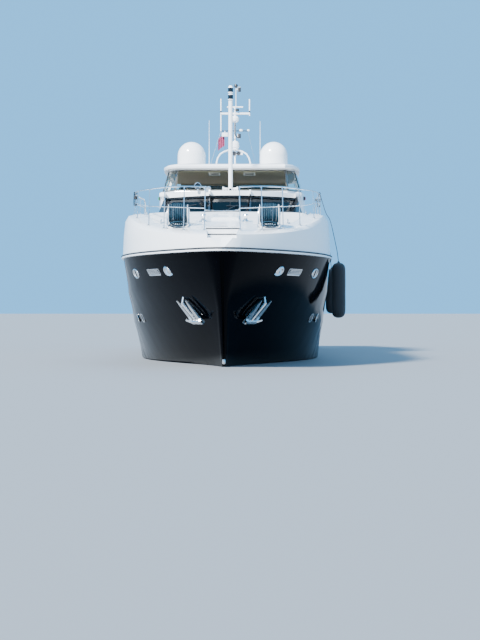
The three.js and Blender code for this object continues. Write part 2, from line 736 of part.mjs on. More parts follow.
const bridgeSkin = cut(
  bridgeTent(20, SCREEN_FOOT, Z.hardtopUnder - 20),
  bridgeTent(20 + GLASS, SCREEN_FOOT - 50, Z.hardtopUnder + 20),
);
const bridgeScreen = bridgeSkin.intersect(frontPrism(shrunk(FRONT_GLASS, PANE_PLAY), 16050, 16650));
addPart("bridge_screen", bridgeScreen, clearGlass);
const cornerPane = bridgeSkin
  .intersect(sidePrism(shrunk(CORNER_GLASS, PANE_PLAY), 2201, 3200))
  .intersect(cornerReach(2201));
addPair("bridge_corner_window", cornerPane, clearGlass);
const bridgeWindow = bridgeSkin.intersect(sidePrism(shrunk(SIDE_GLASS, PANE_PLAY), 2000, 3200));
addPair("bridge_window", bridgeWindow, clearGlass);

// Satellite domes on the hardtop
const DOME = { x: 1700, station: 19500, radius: 580, top: 8740 };
const domeWall = DOME.top - DOME.radius - Z.hardtop;
const domeProfile = [[0, 0], [DOME.radius - 60, 0], [DOME.radius - 20, 60], [DOME.radius, 160]];
const domeSteps = 6;
for (let i = 0; i <= domeSteps; i += 1) {
  const angle = (i / domeSteps) * (Math.PI / 2);
  const radius = i === domeSteps ? 0 : DOME.radius * Math.cos(angle);
  domeProfile.push([radius, domeWall + DOME.radius * Math.sin(angle)]);
}
addPair("dome", turned(domeProfile, DOME.x, DOME.station, Z.hardtop + GAP, 20), gelcoat);

// Signal pole on the wheelhouse roof, with two navigation lights at its head
const POLE = { station: 14600, radius: 80, top: 9760, foot: Z.wheelhouseRoof + GAP };
const poleTall = POLE.top - POLE.foot;
const poleProfile = [
  [0, 0],
  [330, 0],
  [300, 40],
  [110, 90],
  [POLE.radius, 200],
  [POLE.radius, poleTall],
  [0, poleTall],
];
const lightProfile = [
  [0, 0],
  [60, 0],
  [60, 60],
  [95, 60],
  [95, 260],
  [60, 260],
  [60, 330],
  [95, 330],
  [95, 530],
  [50, 600],
  [0, 600],
];
const pole = join(
  turned(poleProfile, 0, POLE.station, POLE.foot, 16),
  turned(lightProfile, 0, POLE.station, POLE.top - 10, 16),
  block(-330, 330, POLE.station - 60, POLE.station + 60, POLE.foot + 2, POLE.foot + 70),
);
addPart("signal_pole", cut(pole, moved(roof, 0, 0, GAP)), gelcoat);

// Mast on the hardtop: arch, post and yards
const MAST = { station: 21400, foot: Z.hardtop + GAP };
const ARCH_HALF = [[740, MAST.foot - 20], [730, 8000], [560, 8430]];
const archPath = [...ARCH_HALF.map(([x, z]) => [-x, z]), [0, 8620], ...ARCH_HALF.toReversed()];
const arch = tube(archPath.map(([x, z]) => [x, MAST.station, z]), 35, 16, 6);

// The mast's post stands a little to port of the arch's middle, with its fittings on it
const POST = 70;
const onPost = (profile, z, sides, x = POST) => turned(profile, x, MAST.station, z, sides);
const mast = join(
  arch,
  rod([POST, MAST.station, MAST.foot - 10], [POST, MAST.station, 10440], 40, 12),
  rod([POST + 40, MAST.station, 10400], [POST + 40, MAST.station, 11300], 14),
  rod([-540, MAST.station, 10150], [700, MAST.station, 10150], 48, 10),
  rod([-560, MAST.station, 9415], [650, MAST.station, 9415], 18, 6),
  rod([-270, MAST.station, 10430], [410, MAST.station, 10430], 32),
  rod([-530, MAST.station, 9400], [-530, MAST.station, 10780], 26),
  rod([690, MAST.station, 10060], [690, MAST.station, 10770], 26),
  onPost([[0, 0], [90, 0], [165, 60], [175, 170], [100, 270], [0, 290]], 9780, 16),
  onPost([[0, 0], [110, 0], [165, 60], [165, 220], [110, 320], [0, 350]], 8650, 16, 85),
  onPost([[0, 0], [60, 20], [85, 85], [60, 150], [0, 170]], 11250, 12, POST + 40),
  turned([[0, 0], [75, 20], [75, 90], [0, 110]], 330, MAST.station, 9390, 10),
  turned([[0, 0], [55, 15], [55, 75], [0, 90]], 640, MAST.station, 9400, 10),
  block(-40, 400, MAST.station - 70, MAST.station + 70, 8395, 8490),
  block(POST, 300, MAST.station - 30, MAST.station + 30, 9160, 9200),
  block(170, 290, MAST.station - 60, MAST.station + 60, 9100, 9290),
  block(120, 270, MAST.station - 25, MAST.station + 25, 11180, 11210),
  block(190, 300, MAST.station - 55, MAST.station + 55, 11080, 11280),
);
addPart("mast", cut(mast, block(-900, 900, 21000, 21900, 7000, MAST.foot)), gelcoat);

// Bow rails: a top rail, a middle rail and posts each side of the bow gate
const RAIL_TOP = [
  [500, 950, 5380],
  [1150, 1650, 5450],
  [1790, 2600, 5510],
  [2330, 3700, 5540],
  [2830, 5500, 5620],
  [3060, 7300, 5690],
  [3190, 9000, 5750],
  [3200, 11500, 5830],
  [3190, 13300, 5860],
  [3220, 14000, 5700],
  [3240, 14300, 5200],
];
const railLower = RAIL_TOP.slice(0, 10).map(([x, s, z]) => [x + 15, s, mix(z, foredeckHeight(x, s), 0.5)]);
const railPosts = RAIL_TOP.slice(0, 9).map(([x, s, z]) =>
  rod([x, s, z], [x + 30, s, foredeckHeight(x, s) - 120], 16, 6),
);
const bowRail = join(tube(RAIL_TOP, 22, 26, 6), tube(railLower, 13, 20, 4), ...railPosts);
addPair("bow_rail", onForedeck(bowRail), steel);

// Upper deck rail, round the after end of the coaming
const UPPER_RAIL_PATH = [
  [2865, 22750, 6060],
  [2840, 23000, 6380],
  [2808, 23600, 6450],
  [2702, 25200, 6450],
  [2542, 27600, 6450],
  [2400, 28100, 6450],
  [1600, 28200, 6450],
];
const upperRailPath = [
  ...UPPER_RAIL_PATH,
  [0, 28200, 6450],
  ...UPPER_RAIL_PATH.toReversed().map(([x, s, z]) => [-x, s, z]),
];
const upperRailPosts = [0, 800, 1600, -800, -1600].map((x) =>
  rod([x, 28200, 6450], [x, 28200, Z.upperDeck], 16, 6),
);
const coamingMiddle = (s) => 2915 - ((s - 22000) * 400) / 6000;
const coamingPosts = [23600, 25200, 26500, 27600].map((s) =>
  rod([coamingMiddle(s), s, 6455], [coamingMiddle(s), s, 5700], 16, 6),
);
const upperRail = cut(
  join(tube(upperRailPath, 22, 44, 6), ...upperRailPosts, ...coamingPosts, ...coamingPosts.map(mirrored)),
  moved(coamingBand, 0, 0, GAP),
  block(-3000, 3000, 22000, 29000, 5000, Z.upperDeck + GAP),
);
addPart("upper_rail", upperRail, steel);

// Rope reels on the foredeck: a frame on four feet, and a drum that turns in it
const REEL = { x: 1390, station: 2750, width: 560, radius: 315, flange: 290, axle: 25, lift: 425 };
const reelDeck = foredeckHeight(REEL.x, REEL.station) - 60;
const REEL_Z = reelDeck + REEL.lift;
function reelCheek(x) {
  const plate = sidePrism(
    [
      [REEL.station - 260, reelDeck - 150],
      [REEL.station + 260, reelDeck - 150],
      [REEL.station + 60, REEL_Z + 70],
      [REEL.station - 60, REEL_Z + 70],
    ],
    x - 8,
    x + 8,
  );
  const window = sidePrism(
    [[REEL.station - 130, reelDeck + 90], [REEL.station + 130, reelDeck + 90], [REEL.station, REEL_Z - 110]],
    x - 50,
    x + 50,
  );
  const bore = rod(
    [x - 60, REEL.station, REEL_Z],
    [x + 60, REEL.station, REEL_Z],
    boreFor(REEL.axle),
    BORE_SIDES,
  );
  return cut(plate, window, bore);
}
const cheekOffset = REEL.width / 2 + 45;
const reelBar = (station) =>
  rod([REEL.x - cheekOffset, station, reelDeck + 60], [REEL.x + cheekOffset, station, reelDeck + 60], 16);
const reelFrame = join(
  reelCheek(REEL.x - cheekOffset),
  reelCheek(REEL.x + cheekOffset),
  reelBar(REEL.station - 190),
  reelBar(REEL.station + 190),
);
addPair("reel_frame", onForedeck(reelFrame), steel);
const half = REEL.width / 2;
const drumProfile = [
  [0, -half - 75],
  [REEL.axle, -half - 75],
  [REEL.axle, -half - 20],
  [REEL.flange, -half - 20],
  [REEL.flange, -half],
  [REEL.radius - 25, -half + 20],
  [REEL.radius, -half + 110],
  [REEL.radius + 12, 0],
  [REEL.radius, half - 110],
  [REEL.radius - 25, half - 20],
  [REEL.flange, half],
  [REEL.flange, half + 20],
  [REEL.axle, half + 20],
  [REEL.axle, half + 75],
  [0, half + 75],
].map(([r, h]) => new THREE.Vector2(r, h));
const drumForm = sewn(new THREE.LatheGeometry(drumProfile, 24)).rotateZ(-Math.PI / 2);
addPair("rope_drum", solid(drumForm.translate(REEL.x, at(REEL.station), REEL_Z)), blueRope);

// Foredeck hatch, hinged along its after edge
const HATCH = { half: 430, front: 4600, end: 5500, thick: 50 };
const hatchLift = foredeckHeight(0, HATCH.front);
const hatchTop = foredeckHeight(0, HATCH.end);
const hatch = sidePrism(
  [
    [HATCH.front, hatchLift - 300],
    [HATCH.end, hatchTop - 300],
    [HATCH.end, hatchTop + HATCH.thick],
    [HATCH.front, hatchLift + HATCH.thick],
  ],
  -HATCH.half,
  HATCH.half,
);
addPart("foredeck_hatch", onForedeck(hatch), gelcoat);

// Anchors, stowed crown down against the flare. Places on one are set out from its crown
// along three directions: up the flare, forward along the hull, and out from the hull.
const ANCHOR = { crown: [800, 2920, 1400], up: [0.62, 0.05, 0.783], forward: [-0.459, -0.888, 0] };
const anchorOut = new THREE.Vector3(...ANCHOR.up).cross(new THREE.Vector3(...ANCHOR.forward)).normalize();
function onAnchor(up, forward, out) {
  const place = ANCHOR.crown.map((c, i) => c + up * ANCHOR.up[i] + forward * ANCHOR.forward[i]);
  return [place[0] + out * anchorOut.x, place[1] + out * anchorOut.y, place[2] + out * anchorOut.z];
}
function flukeRing(up, forward, width, thick) {
  const corners = [[-1, -1], [1, -1], [1, 1], [-1, 1]];
  return corners.map(([i, j]) => {
    const [x, station, z] = onAnchor(up, forward + (i * width) / 2, (j * thick) / 2);
    return [x, at(station), z];
  });
}
const fluke = (side) =>
  loft([
    flukeRing(-60, side * 250, 190, 90),
    flukeRing(300, side * 270, 210, 55),
    flukeRing(600, side * 300, 150, 40),
    flukeRing(830, side * 330, 30, 22),
  ]);
const anchor = join(
  rod(onAnchor(0, -330, 0), onAnchor(0, 330, 0), 80),
  rod(onAnchor(-20, 300, 20), onAnchor(130, 470, 90), 45, 6),
  rod(onAnchor(-20, -300, 20), onAnchor(130, -470, 90), 45, 6),
  fluke(1),
  fluke(-1),
  rod(onAnchor(-40, 0, 10), onAnchor(760, 0, 20), 52),
  rod(onAnchor(720, 0, 20), onAnchor(1050, 0, -330), 45),
);
const hullTool = join(moved(hullForm, 0, 0, 0), moved(hullForm, GAP, 0, 0), moved(hullForm, -GAP, 0, 0));
addPair("anchor", cut(anchor, hullTool), steel);

// Hawse pipes in the bow, polished rings round a dark throat
const HAWSE = { x: 1600, station: 2620, z: 2950 };
const hawse = cut(
  rod([HAWSE.x + 40, HAWSE.station - 70, HAWSE.z], [HAWSE.x - 300, HAWSE.station + 600, HAWSE.z], 150, 16),
  rod([HAWSE.x + 240, HAWSE.station - 470, HAWSE.z], [HAWSE.x - 240, HAWSE.station + 480, HAWSE.z], 90, 16),
  hullTool,
);
addPair("hawse", hawse, steel);

// Rub rail along the sheer, its two halves meeting on the stem
function rubRing(station) {
  const outer = halfBreadth(SHEER, station);
  const z = sheerHeight(station) - 70;
  const y = at(station);
  return [
    [outer - 120, y, z - 40],
    [outer + 45, y, z - 25],
    [outer + 45, y, z + 25],
    [outer - 120, y, z + 40],
  ];
}
const RUB_NOSE = [
  { inner: [GAP / 2, 75], outer: [GAP / 2, -45] },
  { inner: [60, 75], outer: [112, -26] },
];
const rubNoseRings = RUB_NOSE.map(({ inner, outer }) => {
  const z = sheerHeight(0) - 70;
  return [
    [inner[0], at(inner[1]), z - 40],
    [outer[0], at(outer[1]), z - 25],
    [outer[0], at(outer[1]), z + 25],
    [inner[0], at(inner[1]), z + 40],
  ];
});
const rubRail = loft([...rubNoseRings, ...sheerStations.slice(1, -1).map(rubRing)]);
addPair("rub_rail", cut(rubRail, hullTool, moved(hullForm, 0, -GAP, 0)), steel);

// Swim platform
const platform = cut(
  softPlanPrism(
    [
      [-3000, S.platformFront],
      [3000, S.platformFront],
      [3000, 30300],
      [2700, S.platformEnd],
      [-2700, S.platformEnd],
      [-3000, 30300],
    ],
    Z.platform - 140,
    Z.platform - GAP,
    30,
  ),
  moved(hullForm, 0, GAP, 0),
  bothSides(block(STAIR.inner - 10, STAIR.outer + 10, 28000, 29600, Z.platform - GAP, 1000)),
);
addPart("swim_platform", platform, teak);

// Transom door of the tender garage, hinged along its upper edge
const DOOR_THICK = 60;
const doorBottom = GARAGE.floor + CLEAR;
const doorTop = GARAGE.ceiling - GAP;
const transomDoor = sidePrism(
  [
    [transomFace(doorBottom) - DOOR_THICK, doorBottom],
    [transomFace(doorBottom), doorBottom],
    [transomFace(doorTop), doorTop],
    [transomFace(doorTop) - DOOR_THICK, doorTop],
  ],
  -GARAGE.half + CLEAR,
  GARAGE.half - CLEAR,
);
addPart("transom_door", transomDoor, hullPaint);

// Propellers: shaft, hub and four blades as one turning piece
function bladeRing(radius, chord, pitch, thick) {
  const points = [[-0.5, 0], [-0.2, 0.5], [0.2, 0.5], [0.5, 0], [0.2, -0.5], [-0.2, -0.5]];
  return points.map(([u, v]) => [
    u * chord * Math.cos(pitch) - v * thick * Math.sin(pitch),
    u * chord * Math.sin(pitch) + v * thick * Math.cos(pitch),
    radius,
  ]);
}
const PROPELLER_STATION = 27020;
const bladeForm = loft([
  bladeRing(50, 150, 0.95, 40),
  bladeRing(180, 270, 0.75, 28),
  bladeRing(320, 330, 0.55, 20),
  bladeRing(430, 210, 0.45, 12),
]);
const bladeTurns = [0, 1, 2, 3].map((i) => solid(geometryOf(bladeForm).rotateY((i * Math.PI) / 2)));
const hubProfile = [[0, -150], [70, -150], [90, -110], [90, 100], [55, 190], [0, 210]];
const hubForm = solid(new THREE.LatheGeometry(hubProfile.map(([r, h]) => new THREE.Vector2(r, h)), 16));
function alongShaft(body, x, station) {
  const geometry = geometryOf(body).rotateX(-shaftSlope);
  return solid(geometry.translate(x, at(station), shaftHeight(station)));
}
const propeller = join(
  alongShaft(join(hubForm, ...bladeTurns), SHAFT.x, PROPELLER_STATION),
  rod(
    [SHAFT.x, SHAFT.front[0] - 250, shaftHeight(SHAFT.front[0] - 250)],
    [SHAFT.x, PROPELLER_STATION, shaftHeight(PROPELLER_STATION)],
    SHAFT.radius,
    12,
    BORE_TWIST,
  ),
);
addPair("propeller", propeller, bronze);

// Shaft brackets under the stern
const bracketStation = 26450;
const bracketAxis = (offset) => [SHAFT.x, bracketStation + offset, shaftHeight(bracketStation + offset)];
const bracket = cut(
  join(
    rod(bracketAxis(-170), bracketAxis(170), 85, 16),
    sidePrism(
      [[26360, shaftHeight(26360) + 62], [26550, shaftHeight(26550) + 62], [26500, -500], [26250, -500]],
      SHAFT.x - 22,
      SHAFT.x + 22,
    ),
  ),
  rod(bracketAxis(-400), bracketAxis(400), boreFor(SHAFT.radius), BORE_SIDES, BORE_TWIST),
  moved(hullForm, 0, 0, -GAP),
);
addPair("shaft_bracket", bracket, bronze);

// Rudders: blade on a stock that turns in the hull
const rudder = join(
  rod(
    [RUDDER.x, RUDDER.station, RUDDER.top],
    [RUDDER.x, RUDDER.station, RUDDER.foot + 200],
    RUDDER.stock,
    BORE_SIDES,
    Math.PI / BORE_SIDES,
  ),
  sidePrism(
    [
      [RUDDER.station - 160, -1010],
      [RUDDER.station + 420, -1010],
      [RUDDER.station + 340, RUDDER.foot],
      [RUDDER.station - 110, RUDDER.foot],
    ],
    RUDDER.x - 32,
    RUDDER.x + 32,
  ),
);
addPair("rudder", rudder, bronze);

// Furniture that shows through the glass
const helmFoot = Z.wheelhouseFloor + GAP;
const helmConsole = sidePrism(
  [[13900, helmFoot], [14600, helmFoot], [14600, 4900], [14350, 5180], [13900, 5180]],
  -1500,
  1500,
);
addPart("helm_console", helmConsole, joinery);
const helmSeat = join(
  block(-900, 900, 15300, 15850, Z.wheelhouseFloor + GAP, 4650),
  block(-900, 900, 15730, 15850, 4600, 5150),
);
addPart("helm_seat", helmSeat, fabric);
const consoleFoot = Z.upperDeck + GAP;
const bridgeConsole = sidePrism(
  [[16700, consoleFoot], [17300, consoleFoot], [17300, 6300], [16950, 6400], [16700, 6400]],
  -1400,
  1400,
);
addPart("bridge_console", bridgeConsole, gelcoat);
const bridgeSeat = join(
  block(-900, 900, 18100, 18650, Z.upperDeck + GAP, 6050),
  block(-900, 900, 18530, 18650, 6000, 6550),
);
addPart("bridge_seat", bridgeSeat, fabric);
const saloonSofa = join(
  block(-2600, -1800, 18200, 22200, Z.mainDeck + GAP, 3560),
  block(-2600, -2420, 18200, 22200, 3500, 3740),
);
addPart("saloon_sofa", saloonSofa, fabric);
const cockpitSofa = join(
  block(-1900, 1900, 27400, 28200, Z.mainDeck + GAP, 3580),
  block(-1900, 1900, 28050, 28250, 3500, 3900),
);
addPart("cockpit_sofa", cockpitSofa, fabric);

// Fenders hung on the port side, each by a line from the bow rail
function fender(x, station, z0, z1, radius) {
  const length = z1 - z0;
  const profile = [
    [0, 0],
    [radius * 0.6, 40],
    [radius, 180],
    [radius, length - 180],
    [radius * 0.6, length - 40],
    [0, length],
  ];
  return turned(profile, x, station, z0, 20);
}
const FENDERS = [
  { name: "fender_forward", x: 3795, station: 8200, low: 1500, high: 3380, radius: 240, rail: [3140, 5735] },
  { name: "fender_aft", x: 3775, station: 12800, low: 1650, high: 3300, radius: 220, rail: [3195, 5855] },
];
const railSeat = tube(RAIL_TOP, 22.4, 26, 6);
for (const { name, x, station, low, high, radius, rail } of FENDERS) {
  const bends = [[x, high - 60], [3720, 3900], [3520, 4780], [3360, 5080], rail];
  const line = tube(bends.map(([across, z]) => [across, station, z]), 11, 14, 6);
  const hung = join(fender(x, station, low, high, radius), line);
  addPart(name, cut(hung, hullTool, moved(rubRail, GAP, 0, 0), railSeat), blackRubber);
}

export default yacht;
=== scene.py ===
import math
import random
import bpy
import bmesh
from mathutils import Matrix, Vector
from mathutils.bvhtree import BVHTree
from mathutils.geometry import interpolate_bezier


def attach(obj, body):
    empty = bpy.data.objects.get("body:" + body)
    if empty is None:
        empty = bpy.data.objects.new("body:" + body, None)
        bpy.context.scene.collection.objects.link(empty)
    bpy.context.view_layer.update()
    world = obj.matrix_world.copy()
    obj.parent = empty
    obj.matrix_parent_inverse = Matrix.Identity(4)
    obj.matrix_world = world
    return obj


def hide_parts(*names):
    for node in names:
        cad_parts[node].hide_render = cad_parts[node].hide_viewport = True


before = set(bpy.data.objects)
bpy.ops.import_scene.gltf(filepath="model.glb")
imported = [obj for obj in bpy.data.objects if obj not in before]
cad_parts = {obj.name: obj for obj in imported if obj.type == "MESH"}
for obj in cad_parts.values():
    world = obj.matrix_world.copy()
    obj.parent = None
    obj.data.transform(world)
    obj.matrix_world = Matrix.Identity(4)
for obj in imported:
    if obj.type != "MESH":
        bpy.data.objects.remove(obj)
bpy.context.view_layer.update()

# Viewpoint: the yacht is seen from dead ahead, 45 m off the bow and at standing height over
# the waterline. Places along it are stations, counted in metres aft from the stem head.
LENGTH = 31.0
CAMERA_PLACE = (1.05, -LENGTH / 2 - 44.6, 1.70)
FOCAL_PIXELS = 1548
PHOTO_WIDTH = 480
PHOTO_HEIGHT = 640
VANISHING_X = 258
VANISHING_Y = 312
SENSOR_HEIGHT = 36.0
FAR_CLIP = 4000


def at(station):
    return station - LENGTH / 2


camera_data = bpy.data.cameras.new("camera")
camera_data.sensor_fit = "VERTICAL"
camera_data.sensor_height = SENSOR_HEIGHT
camera_data.lens = FOCAL_PIXELS * SENSOR_HEIGHT / PHOTO_HEIGHT
camera_data.clip_end = FAR_CLIP
camera = bpy.data.objects.new("camera", camera_data)
bpy.context.collection.objects.link(camera)
camera.location = CAMERA_PLACE
yaw = math.atan2(VANISHING_X - PHOTO_WIDTH / 2, FOCAL_PIXELS)
pitch = math.atan2(PHOTO_HEIGHT / 2 - VANISHING_Y, FOCAL_PIXELS)
camera.rotation_euler = (math.pi / 2 - pitch, 0, yaw)
bpy.context.scene.camera = camera

# Floor and light: a plain grey floor at the waterline and a plain blue background. A hard
# light comes from high on the starboard bow, and weak, soft ones from port and from astern.
FLOOR_SIZE = 1500
FLOOR_COLOUR = (0.21, 0.22, 0.23, 1)
FLOOR_ROUGHNESS = 0.7
SKY_COLOUR = (0.15, 0.50, 0.94, 1)
SKY_STRENGTH = 1.7
LIGHTS = [
    # name, the side that it comes from, softness, strength
    ("key", (-46, -56, 62), 0.13, 14.0),
    ("fill", (50, -50, 26), 0.6, 1.0),
    ("back", (8, 62, 44), 0.6, 0.6),
]

floor_mesh = bpy.data.meshes.new("floor")
floor = bpy.data.objects.new("floor", floor_mesh)
bpy.context.collection.objects.link(floor)
floor_work = bmesh.new()
bmesh.ops.create_grid(floor_work, x_segments=1, y_segments=1, size=FLOOR_SIZE)
floor_work.to_mesh(floor_mesh)
floor_work.free()
floor_material = bpy.data.materials.new("floor")
floor_material.use_nodes = True
floor_shader = floor_material.node_tree.nodes["Principled BSDF"]
floor_shader.inputs["Base Color"].default_value = FLOOR_COLOUR
floor_shader.inputs["Roughness"].default_value = FLOOR_ROUGHNESS
floor_mesh.materials.append(floor_material)

for light_name, light_place, softness, strength in LIGHTS:
    light_data = bpy.data.lights.new(light_name, "SUN")
    light_data.angle = softness
    light_data.energy = strength
    light = bpy.data.objects.new(light_name, light_data)
    bpy.context.collection.objects.link(light)
    light.location = light_place
    light.visible_glossy = light_name == "key"
    aim = -Vector(light_place)
    light.rotation_euler = aim.to_track_quat("-Z", "Y").to_euler()
sky = bpy.data.worlds.new("sky")
sky.use_nodes = True
sky.node_tree.nodes["Background"].inputs["Color"].default_value = SKY_COLOUR
sky.node_tree.nodes["Background"].inputs["Strength"].default_value = SKY_STRENGTH
bpy.context.scene.world = sky

# Hull: steel plating, faired and sprayed in dark gloss paint, with antifouling below the
# waterline and white paint round the stern stairs and in the tender garage. The CAD skin is
# taken over with its seams merged, so that it shines as one surface.
HULL_PAINT = (0.0005, 0.0008, 0.0018, 1)
HULL_IOR = 1.09
ANTIFOULING = (0.012, 0.016, 0.024, 1)
SCUM = (0.06, 0.065, 0.06, 1)
SCUM_TOP = 0.45
WHITE = (0.80, 0.81, 0.80, 1)
PAINT_EDGE = 0.02
STAIRS_ACROSS = (2.245, 3.025)
STAIRS_FORE = 11.39
STAIRS_FOOT = 0.5
GARAGE_SIDE = 1.655
GARAGE_ALONG = (10.79, 13.4)
GARAGE_HEIGHTS = (0.635, 2.36)
CREASE = math.radians(28)
SEAM = 0.00005


class Finish:
    """A material in the making. Its methods add nodes and give back the output to use."""

    def __init__(self, name):
        self.material = bpy.data.materials.new(name)
        self.material.use_nodes = True
        self.tree = self.material.node_tree
        self.shader = self.tree.nodes["Principled BSDF"]

    def link(self, socket, value):
        """Links an output to a socket, or sets the socket where the value is a plain one."""
        if isinstance(value, bpy.types.NodeSocket):
            self.tree.links.new(value, socket)
        else:
            socket.default_value = value

    def node(self, kind, **inputs):
        made = self.tree.nodes.new("ShaderNode" + kind)
        for key, value in inputs.items():
            self.link(made.inputs[key.replace("_", " ")], value)
        return made

    def shade(self, **inputs):
        """Sets or links inputs of the shader itself."""
        for key, value in inputs.items():
            self.link(self.shader.inputs[key.replace("_", " ")], value)

    def place(self):
        return self.node("TexCoord").outputs["Object"]

    def calc(self, operation, *values, clamp=False):
        made = self.node("Math")
        made.operation = operation
        made.use_clamp = clamp
        for socket, value in zip(made.inputs, values):
            self.link(socket, value)
        return made.outputs[0]

    def product(self, *values):
        result = values[0]
        for value in values[1:]:
            result = self.calc("MULTIPLY", result, value)
        return result

    def within(self, value, low, high):
        above = self.calc("GREATER_THAN", value, low)
        return self.product(above, self.calc("LESS_THAN", value, high))

    def blended(self, share, first, second):
        made = self.node("Mix")
        made.data_type = "RGBA"
        for key, value in (("Factor", share), ("A", first), ("B", second)):
            self.link(made.inputs[key], value)
        return made.outputs["Result"]

    def noise(self, scale, detail=4.0, stretch=(1, 1, 1)):
        mapping = self.node("Mapping", Vector=self.place(), Scale=stretch)
        made = self.node("TexNoise", Vector=mapping.outputs["Vector"], Scale=scale, Detail=detail)
        return made.outputs["Fac"]

    def wave(self, scale, direction="X", distortion=0.0):
        made = self.node("TexWave", Vector=self.place(), Scale=scale, Distortion=distortion)
        made.bands_direction = direction
        return made.outputs["Fac"]

    def spread(self, value, low, high):
        """Draws the middle of a noise out to a range."""
        made = self.node("MapRange", Value=value, From_Min=0.3, From_Max=0.7, To_Min=low, To_Max=high)
        return made.outputs["Result"]

    def bumped(self, height, strength, distance):
        bump = self.node("Bump", Height=height, Strength=strength, Distance=distance)
        self.shade(Normal=bump.outputs["Normal"])


def make_hull_paint():
    finish = Finish("hull_paint")
    axes = finish.node("SeparateXYZ", Vector=finish.place()).outputs
    across = finish.calc("ABSOLUTE", axes["X"])
    along = axes["Y"]
    height = axes["Z"]
    stairs = finish.product(finish.within(across, *STAIRS_ACROSS),
                            finish.calc("GREATER_THAN", along, STAIRS_FORE),
                            finish.calc("GREATER_THAN", height, STAIRS_FOOT))
    garage = finish.product(finish.calc("LESS_THAN", across, GARAGE_SIDE),
                            finish.within(height, *GARAGE_HEIGHTS), finish.within(along, *GARAGE_ALONG))
    white = finish.calc("ADD", stairs, garage, clamp=True)
    wet = finish.calc("LESS_THAN", height, PAINT_EDGE)
    grime = finish.noise(2.5, 6, (1, 1, 0.25))
    low = finish.node("MapRange", Value=height, From_Min=SCUM_TOP, From_Max=PAINT_EDGE)
    marks = finish.product(low.outputs["Result"], grime, 0.35)
    colour = finish.blended(wet, finish.blended(marks, HULL_PAINT, SCUM), ANTIFOULING)
    dull = finish.calc("ADD", finish.product(wet, 0.5), finish.product(marks, 0.8))
    gloss = finish.calc("ADD", finish.spread(grime, 0.05, 0.11), dull)
    finish.shade(Base_Color=finish.blended(white, colour, WHITE), Roughness=gloss, IOR=HULL_IOR)
    finish.bumped(finish.noise(1.1, 2, (1, 1, 0.35)), 0.25, 0.02)
    return finish.material


def piece_from(work, name, material, body="root", replaced=(), crease=CREASE):
    """Ends a mesh: smooth faces with sharp creases, the CAD nodes that it hides, its body."""
    mesh = bpy.data.meshes.new(name)
    for face in work.faces:
        face.smooth = True
    for edge in work.edges:
        edge.smooth = edge.is_manifold and edge.calc_face_angle(0) < crease
    work.to_mesh(mesh)
    work.free()
    piece = bpy.data.objects.new(name, mesh)
    bpy.context.collection.objects.link(piece)
    mesh.materials.append(material)
    if replaced:
        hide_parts(*replaced)
    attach(piece, body)
    return piece


def merged_copy(source):
    work = bmesh.new()
    work.from_mesh(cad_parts[source].data)
    bmesh.ops.remove_doubles(work, verts=work.verts[:], dist=SEAM)
    return work


def faired(piece):
    piece.modifiers.new("fair", "WEIGHTED_NORMAL").keep_sharp = True


hull_paint = make_hull_paint()
faired(piece_from(merged_copy("hull"), "hull_skin", hull_paint, replaced=["hull"]))

# Plain finishes: every one has its own clouding, gloss and grain, at the scale of the real
# material. The first pieces that use them are the deck mouldings, which are white gelcoat.
SMOOTH_PARTS = [
    # CAD node, name of the piece
    ("foredeck_moulding", "foredeck_skin"),
    ("bulwark_port", "bulwark_skin_port"),
    ("bulwark_starboard", "bulwark_skin_starboard"),
    ("wheelhouse", "wheelhouse_skin"),
    ("bridge_coaming", "coaming_skin"),
    ("hardtop", "hardtop_skin"),
    ("dome_port", "dome_skin_port"),
    ("dome_starboard", "dome_skin_starboard"),
]


def plain_finish(name, light, dark, roughness, grain=(40, 0.1), metal=0.0, clouds=1.5, coat=0.0):
    """A finish from two colours (red, green, blue), a range of roughness and a fine grain."""
    finish = Finish(name)
    colour = finish.blended(finish.noise(clouds), (*light, 1), (*dark, 1))
    gloss = finish.spread(finish.noise(clouds * 6), *roughness)
    finish.shade(Base_Color=colour, Roughness=gloss, Metallic=metal, Coat_Weight=coat)
    grain_scale, grain_strength = grain
    finish.bumped(finish.noise(grain_scale, 2), grain_strength, 0.001)
    return finish.material


gelcoat = plain_finish("gelcoat", (0.90, 0.90, 0.89), (0.86, 0.86, 0.855), (0.16, 0.26), coat=0.3)
polished_steel = plain_finish("polished_steel", (0.88, 0.88, 0.87), (0.74, 0.75, 0.76),
                              (0.16, 0.30), metal=1.0)
bronze = plain_finish("bronze", (0.55, 0.36, 0.16), (0.36, 0.24, 0.13), (0.25, 0.42), metal=1.0)
black_plastic = plain_finish("black_plastic", (0.02, 0.02, 0.022), (0.035, 0.035, 0.038), (0.35, 0.5))
black_rubber = plain_finish("black_rubber", (0.012, 0.012, 0.014), (0.03, 0.03, 0.033),
                            (0.55, 0.75), grain=(160, 0.3))
for source_name, skin_name in SMOOTH_PARTS:
    faired(piece_from(merged_copy(source_name), skin_name, gelcoat, replaced=[source_name]))

# Hull fittings: the hull carries flush dark windows, louvred vents and fairleads, all with
# polished steel rims; a dark plate fills each fairlead's opening as painted shade. Each is set
# square on the plating, which is found by looking inwards from abeam, so every fitting lies on
# the hull wherever it curves.
HULL_WINDOWS = [
    # station, height, width, tall
    (7.55, 1.50, 0.34, 0.26),
    (8.35, 1.50, 0.34, 0.26),
    (12.2, 1.50, 1.00, 0.34),
    (14.4, 1.50, 1.00, 0.34),
    (17.6, 1.50, 0.60, 0.34),
    (20.4, 1.50, 0.60, 0.34),
]
HULL_VENTS = [
    # station, height, width, tall, slats
    (3.55, 2.94, 0.86, 0.19, 4),
    (22.6, 2.35, 1.10, 0.30, 7),
    (24.4, 2.35, 1.10, 0.30, 7),
]
FAIRLEADS = [
    # station, height, half-width, half-height of the ring, thickness
    (5.25, 2.94, 0.24, 0.15, 0.035),
    (26.2, 2.62, 0.20, 0.13, 0.035),
]
RIM = 0.022
SIDES = ((1, "port"), (-1, "starboard"))
